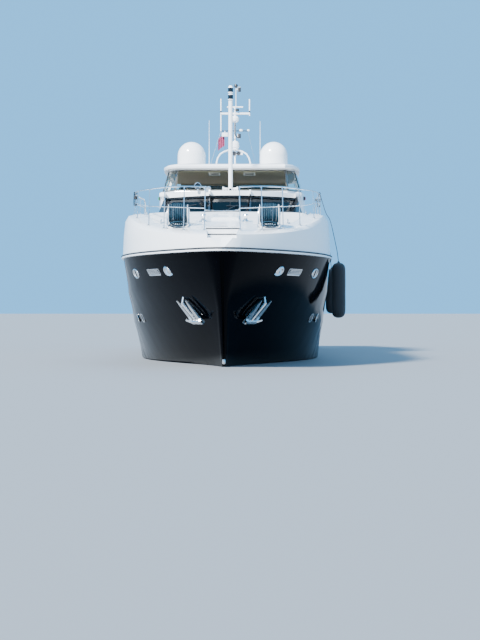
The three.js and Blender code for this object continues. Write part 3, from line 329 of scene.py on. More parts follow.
QUARTER = math.pi / 2


def placed(x, station, z, axis="Z", angle=0.0):
    """A place on the yacht, turned about one of its own axes."""
    return Matrix.Translation((x, at(station), z)) @ Matrix.Rotation(angle, 4, axis)


def faces_of(verts):
    return list({face for vert in verts for face in vert.link_faces})


def highest(verts):
    return max(faces_of(verts), key=lambda face: face.calc_center_median().z)


def bevelled(work, geometry, offset, segments, affect="EDGES"):
    made = bmesh.ops.bevel(work, geom=geometry, offset=offset, affect=affect, segments=segments,
                           profile=0.5, material=-1)
    return made["verts"]


def rounded_plate(work, width, tall, thick, corner, place, edge=0.004):
    """A plate with rounded corners, its back on the place's own level."""
    made = bmesh.ops.create_cube(work, size=1)["verts"]
    bmesh.ops.transform(work, matrix=Matrix.Diagonal((width, tall, thick, 1)), verts=made)
    edges = {e for v in made for e in v.link_edges}
    upright = [e for e in edges if abs(e.verts[0].co.z - e.verts[1].co.z) > thick / 2]
    fresh = bevelled(work, upright, corner, 5)
    verts = [v for v in set(made) | set(fresh) if v.is_valid]
    if edge:
        fresh = bevelled(work, list(highest(verts).edges), edge, 2)
        verts = list({v for v in verts if v.is_valid} | set(fresh))
    bmesh.ops.transform(work, matrix=place @ Matrix.Translation((0, 0, thick / 2)), verts=verts)
    return verts


def rim_plate(work, width, tall, thick, corner, place, rim):
    """A plate with its middle sunk, which leaves a raised rim."""
    verts = rounded_plate(work, width, tall, thick, corner, Matrix.Identity(4), edge=0)
    top = highest(verts)
    before = set(work.verts)
    bmesh.ops.inset_region(work, faces=[top], thickness=rim, depth=0)
    bmesh.ops.inset_region(work, faces=[top], thickness=0.001, depth=-thick * 0.7)
    verts = list(set(verts) | (set(work.verts) - before))
    bmesh.ops.transform(work, matrix=place, verts=verts)


def bar(work, start, end, radius, sides=12, far_radius=None):
    """A round bar, or a cone, between two places."""
    start = Vector(start)
    end = Vector(end)
    along = end - start
    turn = along.to_track_quat("Z", "Y").to_matrix().to_4x4()
    bmesh.ops.create_cone(work, cap_ends=True, segments=sides, radius1=radius,
                          radius2=far_radius or radius, depth=along.length,
                          matrix=Matrix.Translation((start + end) / 2) @ turn)


def spun(work, geometry, steps):
    bmesh.ops.spin(work, geom=geometry, cent=(0, 0, 0), axis=(0, 0, 1), angle=math.tau, steps=steps,
                   use_merge=True)


def ring(work, centre_radius, section, place, steps=28, sides=10, oval=(1, 1)):
    """A closed ring with a round section, about the place's own upright axis."""
    before = set(work.verts)
    start = Matrix.Translation((centre_radius, 0, 0)) @ Matrix.Rotation(QUARTER, 4, "X")
    made = bmesh.ops.create_circle(work, segments=sides, radius=section, matrix=start)["verts"]
    spun(work, made + list({e for v in made for e in v.link_edges}), steps)
    verts = [v for v in work.verts if v not in before]
    bmesh.ops.transform(work, matrix=place @ Matrix.Diagonal((*oval, 1, 1)), verts=verts)
    bmesh.ops.recalc_face_normals(work, faces=faces_of(verts))


def turned(work, profile, place, steps=32):
    """A turned form: its profile of (radius, height) is spun about the place's upright axis."""
    before = set(work.verts)
    verts = [work.verts.new((radius, 0, height)) for radius, height in profile]
    edges = [work.edges.new(pair) for pair in zip(verts, verts[1:])]
    spun(work, verts + edges, steps)
    made = [v for v in work.verts if v not in before]
    bmesh.ops.remove_doubles(work, verts=made, dist=0.00002)
    made = [v for v in work.verts if v not in before]
    bmesh.ops.transform(work, matrix=place, verts=made)
    bmesh.ops.recalc_face_normals(work, faces=faces_of(made))


def disc(work, radius, tall, place, steps=32):
    turned(work, [(0, 0), (radius, 0), (radius, tall), (0, tall)], place, steps)


hull_tree = BVHTree.FromBMesh(merged_copy("hull"))


def on_hull(side, station, height):
    """A place on the plating: its own X points aft to starboard, its Y up and its Z outboard."""
    start = Vector((side * 10, at(station), height))
    spot, normal, _, _ = hull_tree.ray_cast(start, Vector((-side, 0, 0)))
    along = normal.cross(Vector((0, 0, 1))).normalized()
    up = normal.cross(along)
    if up.z < 0:
        up, along = -up, -along
    place = Matrix((along, up, along.cross(up))).transposed().to_4x4()
    place.translation = spot
    return place


vent_grey = plain_finish("vent_grey", (0.30, 0.31, 0.32), (0.22, 0.23, 0.24), (0.3, 0.45), metal=0.6)
rims, panes_and_opening_shade, slats = bmesh.new(), bmesh.new(), bmesh.new()
for side in (1, -1):
    for station, height, width, tall in HULL_WINDOWS:
        place = on_hull(side, station, height)
        rim_plate(rims, width + 2 * RIM, tall + 2 * RIM, 0.012, 0.09, place, RIM)
        rounded_plate(panes_and_opening_shade, width, tall, 0.007, 0.07, place)
    for station, height, width, tall, count in HULL_VENTS:
        place = on_hull(side, station, height)
        rim_plate(rims, width + 2 * RIM, tall + 2 * RIM, 0.016, 0.05, place, RIM)
        for i in range(count):
            level = (i + 0.5) * tall / count - tall / 2
            slope = Matrix.Translation((0, level, 0.004)) @ Matrix.Rotation(0.5, 4, "X")
            rounded_plate(slats, width - 0.01, tall / count * 0.8, 0.004, 0.004, place @ slope, edge=0)
    for station, height, half_width, half_tall, thick in FAIRLEADS:
        place = on_hull(side, station, height)
        ring(rims, half_width, thick, place, oval=(1, half_tall / half_width))
        for offset in (-0.45 * half_width, 0.45 * half_width):
            foot = place @ Vector((offset, -half_tall * 0.8, 0.006))
            head = place @ Vector((offset, half_tall * 0.8, 0.006))
            bar(rims, foot, head, 0.018)
        # A dark plate in the ring's opening: painted shade for the hollow behind the fairlead.
        rounded_plate(panes_and_opening_shade, half_width * 1.6, half_tall * 1.6, 0.003, half_width * 0.7, place)
piece_from(rims, "hull_window_rims", polished_steel)
piece_from(panes_and_opening_shade, "hull_window_panes", black_plastic)
piece_from(slats, "hull_vent_slats", vent_grey)

# Hawse pipes: a cast steel pipe is let into the plating of each bow. Its polished bell
# stands proud of the paint round a black disc in its throat, painted shade for the pipe's hollow.
HAWSE_STATION = 2.66
HAWSE_HEIGHT = 2.95
HAWSE_BELL = [(0.060, 0.02), (0.075, 0.045), (0.105, 0.058), (0.135, 0.05), (0.165, 0.02),
              (0.175, -0.02), (0.060, -0.02), (0.060, 0.02)]
bells, throat_shades = bmesh.new(), bmesh.new()
for side in (1, -1):
    place = on_hull(side, HAWSE_STATION, HAWSE_HEIGHT)
    turned(bells, HAWSE_BELL, place @ Matrix.Diagonal((1.12, 1, 1, 1)), steps=40)
    # A black disc in the throat: painted shade where the pipe is hollow.
    disc(throat_shades, 0.07, 0.012, place, steps=24)
piece_from(bells, "hawse_bells", polished_steel)
piece_from(throat_shades, "hawse_throats", black_plastic)

# Bow eye and rub rail beads: a steel eye is welded to the stem just over the waterline, and a
# black rubber bead runs along the top of the white rub rail. It is drawn along the sheer.
EYE_STATION = 2.955
EYE_HEIGHT = 0.17
EYE_FOOT_STATION = 2.99
RAIL_FACE = 0.05
BEAD_RADIUS = 0.028
BEAD_IN = 0.010
BEAD_LIFT = 0.024


def verts_in(geometry):
    return [g for g in geometry if isinstance(g, bmesh.types.BMVert)]


def sweep(work, points, radius, sides=8, closed=False):
    """A round bar bent through points: each ring of its section is drawn out to the next."""
    points = [Vector(p) for p in points]
    count = len(points)

    def heading(i):
        before = points[i - 1] if closed or i > 0 else points[i]
        after = points[(i + 1) % count] if closed or i < count - 1 else points[i]
        return (after - before).normalized()

    start = Matrix.Translation(points[0]) @ heading(0).to_track_quat("Z", "Y").to_matrix().to_4x4()
    every = bmesh.ops.create_circle(work, cap_ends=not closed, segments=sides, radius=radius,
                                    matrix=start)["verts"]
    first_edges = list({e for v in every for e in v.link_edges})
    edges = first_edges
    for i in range(1, count):
        turn = heading(i - 1).rotation_difference(heading(i)).to_matrix().to_4x4()
        step = Matrix.Translation(points[i]) @ turn @ Matrix.Translation(-points[i - 1])
        drawn = bmesh.ops.extrude_edge_only(work, edges=edges)["geom"]
        verts = verts_in(drawn)
        bmesh.ops.transform(work, matrix=step, verts=verts)
        fresh = set(verts)
        edges = [g for g in drawn if isinstance(g, bmesh.types.BMEdge) and set(g.verts) <= fresh]
        every += verts
    if closed:
        bmesh.ops.bridge_loops(work, edges=first_edges + edges)
    else:
        bmesh.ops.contextual_create(work, geom=edges)
    bmesh.ops.recalc_face_normals(work, faces=faces_of(every))


def through(points, steps=6):
    """More points along a smooth curve through the given ones."""
    points = [Vector(p) for p in points]
    ends = [2 * points[0] - points[1]] + points + [2 * points[-1] - points[-2]]
    line = [points[0]]
    for before, start, end, after in zip(ends, ends[1:], ends[2:], ends[3:]):
        first = start + (end - before) / 6
        second = end - (after - start) / 6
        line += interpolate_bezier(start, first, second, end, steps + 1)[1:]
    return line


def rail_edge(side_name):
    """The upper outer edge of the rub rail, from the stem aft, right above its lower edge."""
    levels = {}
    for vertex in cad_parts["rub_rail_" + side_name].data.vertices:
        x, y, z = vertex.co
        levels.setdefault((round(x, 3), round(y, 3)), []).append(z)
    line = [Vector((*place, max(heights))) for place, heights in levels.items()
            if abs(max(heights) - min(heights) - RAIL_FACE) < 0.003]
    return sorted(line, key=lambda spot: spot.y)


bead = bmesh.new()
for side, side_name in SIDES:
    lift = Vector((-side * BEAD_IN, 0, BEAD_LIFT))
    sweep(bead, [spot + lift for spot in rail_edge(side_name)], BEAD_RADIUS, sides=8)
piece_from(bead, "rub_rail_bead", black_rubber)
eye = bmesh.new()
ring(eye, 0.06, 0.018, placed(0, EYE_STATION, EYE_HEIGHT, "Y", QUARTER))
rounded_plate(eye, 0.09, 0.15, 0.016, 0.035, placed(0, EYE_FOOT_STATION, EYE_HEIGHT, "X", QUARTER))
piece_from(eye, "bow_eye", polished_steel)

# Glass and the other CAD nodes: dark tinted panes in the wheelhouse and saloon, clear ones
# round the upper bridge. The nodes that show as they are get their finishes here.
GLASS_GLOSS = (0.01, 0.04)


def glass_finish(name, tint, ior):
    finish = Finish(name)
    darker = [channel * 0.9 for channel in tint]
    finish.shade(Base_Color=finish.blended(finish.noise(0.8, 3), (*tint, 1), (*darker, 1)),
                 Roughness=finish.spread(finish.noise(6), *GLASS_GLOSS), Transmission_Weight=1.0, IOR=ior)
    return finish.material


def finish_node(name, material):
    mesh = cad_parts[name].data
    mesh.materials.clear()
    mesh.materials.append(material)


dark_glass = glass_finish("dark_glass", (0.020, 0.021, 0.024), 1.12)
clear_glass = glass_finish("clear_glass", (0.86, 0.85, 0.76), 1.15)
joinery = plain_finish("joinery", (0.20, 0.10, 0.05), (0.12, 0.06, 0.03), (0.25, 0.4), clouds=6)
NODE_FINISHES = [
    # finish, nodes that stand alone, nodes that come in pairs
    (dark_glass, ["windscreen_centre"], ["windscreen", "wheelhouse_window", "saloon_window"]),
    (clear_glass, ["bridge_screen"], ["bridge_corner_window", "bridge_window"]),
    (polished_steel, ["upper_rail", "saloon_door", "saloon_door_fixed"], ["bow_rail", "anchor", "hawse"]),
    (gelcoat, ["saloon_house", "upper_deck", "signal_pole", "mast", "foredeck_hatch", "bridge_console",
               "swim_platform"], ["side_door", "rub_rail"]),
    (bronze, [], ["shaft_bracket"]),
    (joinery, ["helm_console"], []),
]
for made_of, single_names, pair_names in NODE_FINISHES:
    for node_name in single_names:
        finish_node(node_name, made_of)
    for node_name in pair_names:
        finish_node(node_name + "_port", made_of)
        finish_node(node_name + "_starboard", made_of)

# Non-skid panels: the foredeck's walking areas are moulded as raised panels with a fine
# pattern. Each is a flat outline with rounded corners, cut up finely and laid on the deck.
DECK_PANELS = [
    # stations of the fore and after edge, inner edge, outer edge fore and aft
    (3.35, 4.40, 0.90, 1.75, 2.25),
    (4.52, 5.62, 0.58, 2.25, 2.45),
    (5.74, 6.90, 0.06, 2.45, 2.60),
    (7.02, 8.18, 0.06, 2.60, 2.68),
    (8.30, 9.46, 0.06, 2.68, 2.74),
    (9.58, 10.70, 0.06, 2.74, 2.78),
    (10.82, 11.78, 0.06, 2.78, 2.80),
]
PANEL_LIFT = 0.006
PANEL_CORNER = 0.09
PANEL_CUT = 0.35


def make_non_skid():
    finish = Finish("non_skid")
    colour = finish.blended(finish.noise(2.0), (0.70, 0.71, 0.71, 1), (0.60, 0.61, 0.61, 1))
    finish.shade(Base_Color=colour, Roughness=0.7)
    pattern = finish.node("TexVoronoi", Vector=finish.place(), Scale=90)
    finish.bumped(pattern.outputs["Distance"], 0.5, 0.002)
    return finish.material


def cut_up(work, step):
    """Cuts a flat outline along X and Y, so that it can follow a curved deck."""
    for axis in (0, 1):
        low = min(v.co[axis] for v in work.verts)
        high = max(v.co[axis] for v in work.verts)
        for i in range(1, int((high - low) / step) + 1):
            point, normal = [0, 0, 0], [0, 0, 0]
            point[axis] = low + i * step
            normal[axis] = 1
            whole = work.verts[:] + work.edges[:] + work.faces[:]
            bmesh.ops.bisect_plane(work, geom=whole, dist=0.0001, plane_co=point, plane_no=normal)


def below(tree, x, y, height=9):
    """Where a line straight down meets a surface, and the surface's normal there."""
    return tree.ray_cast(Vector((x, y, height)), Vector((0, 0, -1)))[:2]


def on_top(tree, x, station):
    """A place on a surface seen from above, upright to it."""
    spot, normal = below(tree, x, at(station))
    turn = Vector((0, 0, 1)).rotation_difference(normal).to_matrix().to_4x4()
    return Matrix.Translation(spot) @ turn


def laid(tree, work, lift):
    """Drops every point of a flat outline on a surface below it, and lifts it a little."""
    for vertex in work.verts:
        spot, _ = below(tree, vertex.co.x, vertex.co.y, 12)
        if spot:
            vertex.co.z = spot.z + lift


def outline_face(work, points, corner):
    verts = [work.verts.new(point) for point in points]
    work.faces.new(verts)
    bevelled(work, verts, corner, 5, affect="VERTICES")


def joined_into(work, other):
    """Moves the geometry of one mesh into another."""
    spare = bpy.data.meshes.new("spare")
    other.to_mesh(spare)
    other.free()
    work.from_mesh(spare)
    bpy.data.meshes.remove(spare)


def raised(work, by):
    """Draws the faces of a flat outline out to a solid plate."""
    drawn = bmesh.ops.extrude_face_region(work, geom=work.faces[:])["geom"]
    bmesh.ops.translate(work, verts=verts_in(drawn), vec=by)
    bmesh.ops.recalc_face_normals(work, faces=work.faces[:])


def slab(work, points, level, thick, corner):
    """A flat plate with rounded corners, cut to an outline of x and station."""
    made = bmesh.new()
    outline_face(made, [(x, at(s), level) for x, s in points], corner)
    raised(made, (0, 0, thick))
    joined_into(work, made)


def both_sides(points):
    return list(points) + [(-x, s) for x, s in reversed(points)]


def oblong(x0, x1, s0, s1):
    return [(x0, s0), (x1, s0), (x1, s1), (x0, s1)]


non_skid = make_non_skid()
foredeck_tree = BVHTree.FromBMesh(merged_copy("foredeck_moulding"))
panels = bmesh.new()
for side in (1, -1):
    for fore, aft, inner, outer_fore, outer_aft in DECK_PANELS:
        panel = bmesh.new()
        corners = [(inner, fore), (outer_fore, fore), (outer_aft, aft), (inner, aft)]
        outline_face(panel, [(side * x, at(s), 0) for x, s in corners], PANEL_CORNER)
        cut_up(panel, PANEL_CUT)
        laid(foredeck_tree, panel, PANEL_LIFT)
        bmesh.ops.recalc_face_normals(panel, faces=panel.faces[:])
        if sum(f.normal.z for f in panel.faces) < 0:
            bmesh.ops.reverse_faces(panel, faces=panel.faces[:])
        bmesh.ops.solidify(panel, geom=panel.faces[:], thickness=PANEL_LIFT * 2)
        joined_into(panels, panel)
piece_from(panels, "foredeck_panels", non_skid)

# Deck fittings: polished cleats by the rails, deck filler caps and two rope capstans, all
# cast or turned in stainless steel and bolted through the moulding.
CLEATS = [
    # x, station
    (1.98, 3.9),
    (2.62, 6.3),
    (2.86, 9.4),
]
CAPSTAN = (0.66, 3.95)
CAPSTAN_PROFILE = [(0, 0), (0.14, 0), (0.14, 0.025), (0.075, 0.05), (0.058, 0.12), (0.075, 0.19),
                   (0.09, 0.21), (0.075, 0.24), (0, 0.245)]
FILLER_X = 2.72
FILLER_STATIONS = (6.35, 7.55)
FILLER_PROFILE = [(0, 0), (0.05, 0), (0.05, 0.006), (0.035, 0.012), (0, 0.012)]


def cleat(work, place, length=0.36):
    for side in (-1, 1):
        bar(work, place @ Vector((0, side * 0.06, -0.01)), place @ Vector((0, side * 0.05, 0.075)), 0.02)
        rounded_plate(work, 0.07, 0.09, 0.012, 0.02, place @ Matrix.Translation((0, side * 0.06, 0)))
    horn = [(0, length * share, rise)
            for share, rise in ((-0.5, 0.1), (-0.25, 0.082), (0, 0.078), (0.25, 0.082), (0.5, 0.1))]
    sweep(work, [place @ Vector(p) for p in through(horn, 3)], 0.018, sides=10)


bow_steel = bmesh.new()
for side in (1, -1):
    for x, station in CLEATS:
        cleat(bow_steel, on_top(foredeck_tree, side * x, station))
    turned(bow_steel, CAPSTAN_PROFILE, on_top(foredeck_tree, side * CAPSTAN[0], CAPSTAN[1]))
    for station in FILLER_STATIONS:
        turned(bow_steel, FILLER_PROFILE, on_top(foredeck_tree, side * FILLER_X, station), steps=20)
piece_from(bow_steel, "deck_fittings", polished_steel)

# Bow steps: two treads let into the moulding under the gate in the rails. Each has a ribbed
# pad, and a black rubber nosing is glued along the top of each riser; its black is also painted
# shade, standing for the shadow line at the riser's top.
STEP_TREADS = [
    # station of the middle, height, width, depth
    (0.72, 3.853, 0.62, 0.36),
    (1.62, 4.013, 0.76, 0.50),
]
STEP_RIBS = 6
PAD_THICK = 0.006
# Black nosings, which also paint the shadow line along the top of each riser.
STEP_SHADOW_NOSINGS = [
    # station of the riser, height of its top, width
    (0.951, 4.010, 0.88),
    (2.001, 4.236, 1.04),
]
step_pads, shadow_nosings = bmesh.new(), bmesh.new()
for station, height, width, depth in STEP_TREADS:
    rounded_plate(step_pads, width, depth, PAD_THICK, 0.03, placed(0, station, height))
    for i in range(STEP_RIBS):
        rib_station = station + (i - 2.5) * depth / 7
        rib_place = placed(0, rib_station, height + PAD_THICK)
        rounded_plate(step_pads, width * 0.9, 0.018, 0.004, 0.006, rib_place, edge=0)
piece_from(step_pads, "bow_step_pads", non_skid)
for station, height, width in STEP_SHADOW_NOSINGS:
    rounded_plate(shadow_nosings, width, 0.040, 0.006, 0.006, placed(0, station, height - 0.024, "X", QUARTER))
piece_from(shadow_nosings, "bow_step_nosings", black_rubber)

# Foredeck hatch: a low moulded lid with a raised rim, two steel hinges on its after edge and
# a flush handle. All of it turns with the lid.
LID_STATION = 5.05
HANDLE_STATION = 4.68
HINGE_STATION = 5.44
HINGE_X = 0.28
hatch_tree = BVHTree.FromBMesh(merged_copy("foredeck_hatch"))
hatch_rim, hatch_steel = bmesh.new(), bmesh.new()
rim_plate(hatch_rim, 0.78, 0.82, 0.012, 0.08, on_top(hatch_tree, 0, LID_STATION), 0.035)
piece_from(hatch_rim, "hatch_lid_rim", gelcoat, "foredeck_hatch")
for x in (-HINGE_X, HINGE_X):
    hinge = on_top(hatch_tree, x, HINGE_STATION)
    bar(hatch_steel, hinge @ Vector((-0.05, 0, 0.012)), hinge @ Vector((0.05, 0, 0.012)), 0.012)
    rounded_plate(hatch_steel, 0.08, 0.10, 0.006, 0.015, hinge @ Matrix.Translation((0, -0.06, 0)))
rounded_plate(hatch_steel, 0.16, 0.06, 0.008, 0.02, on_top(hatch_tree, 0, HANDLE_STATION))
piece_from(hatch_steel, "hatch_hinges", polished_steel, "foredeck_hatch")

# Bow rails: welded stainless tube. Every post stands in a round flange, and a wire with hooks
# closes the gate over the bow steps. Spare black line hangs from the rails in hanks.
RAIL_POSTS = [
    # x, station and height of the top rail
    (0.50, 0.95, 5.38), (1.15, 1.65, 5.45), (1.79, 2.60, 5.51), (2.33, 3.70, 5.54), (2.83, 5.50, 5.62),
    (3.06, 7.30, 5.69), (3.19, 9.00, 5.75), (3.20, 11.50, 5.83), (3.19, 13.30, 5.86),
]
GATE_STATION = 0.95
GATE_HALF_WIDTH = 0.505
GATE_WIRE_HEIGHT = 4.70
HANKS = [
    # x, station and height of the rail, length of the hank
    (-3.06, 7.30, 5.69, 0.46),
    (3.19, 9.60, 5.765, 0.42),
]
FLANGE_PROFILE = [(0, 0), (0.055, 0), (0.055, 0.008), (0.03, 0.014), (0.026, 0.05), (0, 0.05)]
rail_steel, hank_work = bmesh.new(), bmesh.new()
for side in (1, -1):
    for x, station, top in RAIL_POSTS:
        turned(rail_steel, FLANGE_PROFILE, on_top(foredeck_tree, side * (x + 0.03), station), steps=16)
        head = Vector((side * x, at(station), top))
        bar(rail_steel, head - Vector((0, 0, 0.05)), head + Vector((0, 0, 0.004)), 0.021)
starboard_end = Vector((-GATE_HALF_WIDTH, at(GATE_STATION), GATE_WIRE_HEIGHT))
port_end = Vector((GATE_HALF_WIDTH, at(GATE_STATION), GATE_WIRE_HEIGHT))
wire_middle = Vector((0, at(GATE_STATION), GATE_WIRE_HEIGHT - 0.02))
sweep(rail_steel, through([starboard_end, wire_middle, port_end], 5), 0.006, sides=6)
for side, end in ((-1, starboard_end), (1, port_end)):
    bar(rail_steel, end, end - Vector((side * 0.13, 0, 0.006)), 0.012)
    ring(rail_steel, 0.02, 0.005, Matrix.Translation(end) @ Matrix.Rotation(QUARTER, 4, "X"), 14, 6)
piece_from(rail_steel, "rail_flanges", polished_steel)
for x, station, top, length in HANKS:
    for i in range(6):
        place = placed(x, station + (i - 2.5) * 0.018, top - length / 2 + 0.03, "Y", (i - 2.5) * 0.07)
        place = place @ Matrix.Rotation(QUARTER, 4, "X")
        ring(hank_work, length / 2, 0.012, place, steps=22, sides=6, oval=(0.18 + 0.02 * i, 1))
    for i in range(5):
        ring(hank_work, 0.055, 0.012, placed(x, station, top - 0.12 - i * 0.02), steps=16, sides=6)
piece_from(hank_work, "rail_hanks", black_rubber)

# Rope reels: blue rope is wound on a white drum that turns in a frame of bent steel tube.
# Each turn of rope is three strands laid up together, and the winding bulges at the middle.
REEL_X = 1.39
REEL_STATION = 2.75
REEL_Z = 4.70009
REEL_TURNS = 9
REEL_FLANGE = [(0, -0.355), (0.024, -0.355), (0.024, -0.302), (0.286, -0.300), (0.290, -0.292),
               (0.286, -0.284), (0.245, -0.28)]
REEL_PROFILE = REEL_FLANGE + [(radius, -height) for radius, height in reversed(REEL_FLANGE)]
FRAME_HALF_WIDTH = 0.327
FRAME_BENDS = [
    # step aft of the axle, height
    (-0.23, 4.68), (-0.13, 4.84), (0.13, 4.84), (0.23, 4.68),
]
FOOT_BENDS = [
    # step to the side, height over the deck
    (-0.33, 0.09), (-0.29, 0.03), (-0.22, 0.018), (0.22, 0.018), (0.29, 0.03), (0.33, 0.09),
]
ROPE_RADIUS = 0.275
ROPE_STRAND = 0.0175
ROPE_LAY = 26
ROPE_STEPS = 78
SLACK_TURNS = 4


def make_rope():
    finish = Finish("blue_rope")
    wear = finish.noise(9.0, 3, (3.2, 0.6, 0.6))
    finish.shade(Base_Color=finish.blended(wear, (0.0015, 0.011, 0.026, 1), (0.002, 0.050, 0.082, 1)),
                 Roughness=finish.spread(wear, 0.55, 0.8))
    finish.bumped(finish.wave(60, distortion=3), 0.4, 0.002)
    return finish.material


def rope_turn(work, radius):
    """One closed turn of laid rope about the X axis: three strands twisted round each other."""
    for strand in range(3):
        points = []
        for i in range(ROPE_STEPS):
            around = math.tau * i / ROPE_STEPS
            twist = around * ROPE_LAY + math.tau * strand / 3
            out = radius + math.cos(twist) * ROPE_STRAND * 1.1
            x = math.sin(twist) * ROPE_STRAND * 1.1
            points.append((x, math.cos(around) * out, math.sin(around) * out))
        sweep(work, points, ROPE_STRAND, sides=5, closed=True)


def stamped(work, mesh, matrix):
    """Adds a copy of a mesh at a place."""
    before = set(work.verts)
    work.from_mesh(mesh)
    bmesh.ops.transform(work, matrix=matrix, verts=[v for v in work.verts if v not in before])


rope_material = make_rope()
one_turn = bmesh.new()
rope_turn(one_turn, ROPE_RADIUS)
turn_mesh = bpy.data.meshes.new("rope_turn")
one_turn.to_mesh(turn_mesh)
one_turn.free()
wander = random.Random(7)
for side, side_name in SIDES:
    drum_name = "rope_drum_" + side_name
    axle = placed(side * REEL_X, REEL_STATION, REEL_Z)
    winding, drum, stand, foot_bars, slack = [bmesh.new() for _ in range(5)]
    for i in range(REEL_TURNS):
        across = (i - (REEL_TURNS - 1) / 2) / ((REEL_TURNS - 1) / 2)
        swell = 1.09 - 0.12 * abs(across) ** 3 + wander.uniform(-0.025, 0.02)
        lean = Matrix.Rotation(wander.uniform(-0.05, 0.05), 4, "Z")
        shape = Matrix.Translation((across * 0.245, 0, 0)) @ lean @ Matrix.Diagonal((1, swell, swell, 1))
        stamped(winding, turn_mesh, axle @ shape)
    piece_from(winding, "rope_winding_" + side_name, rope_material, drum_name, crease=1.4)
    turned(drum, REEL_PROFILE, axle @ Matrix.Rotation(QUARTER, 4, "Y"), steps=40)
    piece_from(drum, "reel_drum_" + side_name, gelcoat, drum_name, [drum_name])
    for end in (-1, 1):
        x = side * REEL_X + end * FRAME_HALF_WIDTH
        feet = [below(foredeck_tree, x, at(REEL_STATION + step))[0] for step in (-0.25, 0.25)]
        bends = [(x, at(REEL_STATION + step), height) for step, height in FRAME_BENDS]
        sweep(stand, through([feet[0]] + bends + [feet[1]], 4), 0.014, sides=10)
        for foot in feet:
            turned(stand, FLANGE_PROFILE, Matrix.Translation(foot), steps=16)
        ring(stand, 0.042, 0.013, placed(x, REEL_STATION, REEL_Z, "Y", QUARTER), steps=24)
        for way in (-1, 1):
            start = (x, at(REEL_STATION + way * 0.052), REEL_Z)
            bar(stand, start, (x, at(REEL_STATION + way * 0.222), REEL_Z), 0.011)
    for way in (-1, 1):
        low = on_top(foredeck_tree, side * REEL_X, REEL_STATION + way * 0.27)
        lip = [low @ Vector((x, 0, z)) for x, z in FOOT_BENDS]
        sweep(foot_bars, through(lip, 3), 0.019, sides=8)
    for i in range(SLACK_TURNS):
        hang_x = side * REEL_X + wander.uniform(-0.03, 0.03)
        hang_station = REEL_STATION - 0.405 - i * 0.016
        hang = placed(hang_x, hang_station, 4.335 + i * 0.018, "X", math.radians(8 + 5 * i))
        shape = Matrix.Diagonal((1, 0.86 - 0.05 * i, 0.26 - 0.02 * i, 1))
        stamped(slack, turn_mesh, hang @ Matrix.Rotation(QUARTER, 4, "Z") @ shape)
    piece_from(slack, "rope_tail_" + side_name, rope_material, crease=1.4)
    piece_from(foot_bars, "reel_feet_" + side_name, gelcoat)
    piece_from(stand, "reel_stand_" + side_name, polished_steel,
               replaced=["reel_frame_" + side_name])

# Wheelhouse front: the raked panes are bonded in one gloss black band, sprayed over the pillars
# and round the side windows. Three wipers with their arms parked stand on it.
BAND_FOOT = 5.2
BAND_TOP = 6.075
BAND_AFT = 16.1
WIPERS = [
    # x and station of the spindle, x and station of the blade's middle, half-length of the blade
    (-1.70, 12.93, -1.62, 13.42, 0.42),
    (-0.10, 12.26, 0.28, 12.72, 0.40),
    (1.70, 12.93, 1.62, 13.42, 0.42),
]
BLADE_SWEEP = 0.9 / 2.75
OVER_SCREEN = 6.05


def painted(piece_name, material, chosen):
    """Gives a second finish to those of a piece's faces that are chosen."""
    mesh = bpy.data.objects[piece_name].data
    mesh.materials.append(material)
    for polygon in mesh.polygons:
        if chosen(polygon):
            polygon.material_index = 1


def on_band(face):
    return BAND_FOOT < face.center.z < BAND_TOP and face.center.y < at(BAND_AFT)


band_black = plain_finish("band_black", (0.006, 0.007, 0.009), (0.010, 0.011, 0.013), (0.05, 0.12),
                          grain=(20, 0.03))
painted("wheelhouse_skin", band_black, on_band)
screen_work = merged_copy("wheelhouse")
for pane_name in ("windscreen_port", "windscreen_centre", "windscreen_starboard"):
    joined_into(screen_work, merged_copy(pane_name))
screen_tree = BVHTree.FromBMesh(screen_work)
screen_work.free()


def on_screen(x, station, lift):
    spot, normal = below(screen_tree, x, at(station), OVER_SCREEN)
    if spot is None or normal.z < 0.3:
        spot, normal = below(screen_tree, x, at(station) - 0.05, OVER_SCREEN)
    return spot + normal * lift


def bowed(work, start, end, rise, steps, radius, sides):
    """A thin bar between two places, its middle raised a little."""
    sweep(work, through([start, (start + end) / 2 + Vector((0, 0, rise)), end], steps), radius, sides)


wipers = bmesh.new()
for foot_x, foot_station, mid_x, mid_station, half in WIPERS:
    foot = on_screen(foot_x, foot_station, 0.03)
    along = Vector((1, mid_x * BLADE_SWEEP, 0)).normalized() * half
    tips = [on_screen(mid_x + way * along.x, mid_station + way * along.y, 0.022) for way in (-1, 1)]
    bar(wipers, foot - Vector((0, 0, 0.04)), foot + Vector((0, 0, 0.03)), 0.028)
    bowed(wipers, foot, on_screen(mid_x, mid_station, 0.045), 0.02, 3, 0.011, 8)
    bowed(wipers, tips[0], tips[1], 0.012, 4, 0.009, 6)
piece_from(wipers, "wipers", black_plastic)

# Wheelhouse roof gear: a searchlight and a pair of trumpet horns to starboard, two hailers and
# a round camera by the signal pole, a low hand rail with an air intake behind it, and a small
# white drum at each side. A black plate behind the intake's slats is painted shade for its
# opening. All of it is bolted to the moulded roof.
ROOF_Z = 6.262
LAMP_X = -1.22
LAMP_STATION = 13.75
LAMP_SHELL = [(0, -0.17), (0.06, -0.16), (0.115, -0.09), (0.125, 0.02), (0.13, 0.06), (0.118, 0.07),
              (0.112, 0.045), (0, 0.045)]
LAMP_LENS = [(0, 0.046), (0.108, 0.046), (0.09, 0.06), (0, 0.064)]
LAMP_FOOT = [(0, 0), (0.07, 0), (0.07, 0.02), (0.03, 0.035), (0.03, 0.09), (0, 0.09)]
HORNS = [
    # x, length
    (-0.92, 0.52),
    (-0.80, 0.40),
]
CAMERA_DOME = [(0, 0), (0.06, 0), (0.06, 0.05), (0.045, 0.095), (0.02, 0.115), (0, 0.118)]
HAILER = [(0, 0), (0.035, 0), (0.04, 0.08), (0.055, 0.13), (0.085, 0.17), (0.085, 0.19), (0, 0.20)]
HAILER_STATION = 13.98
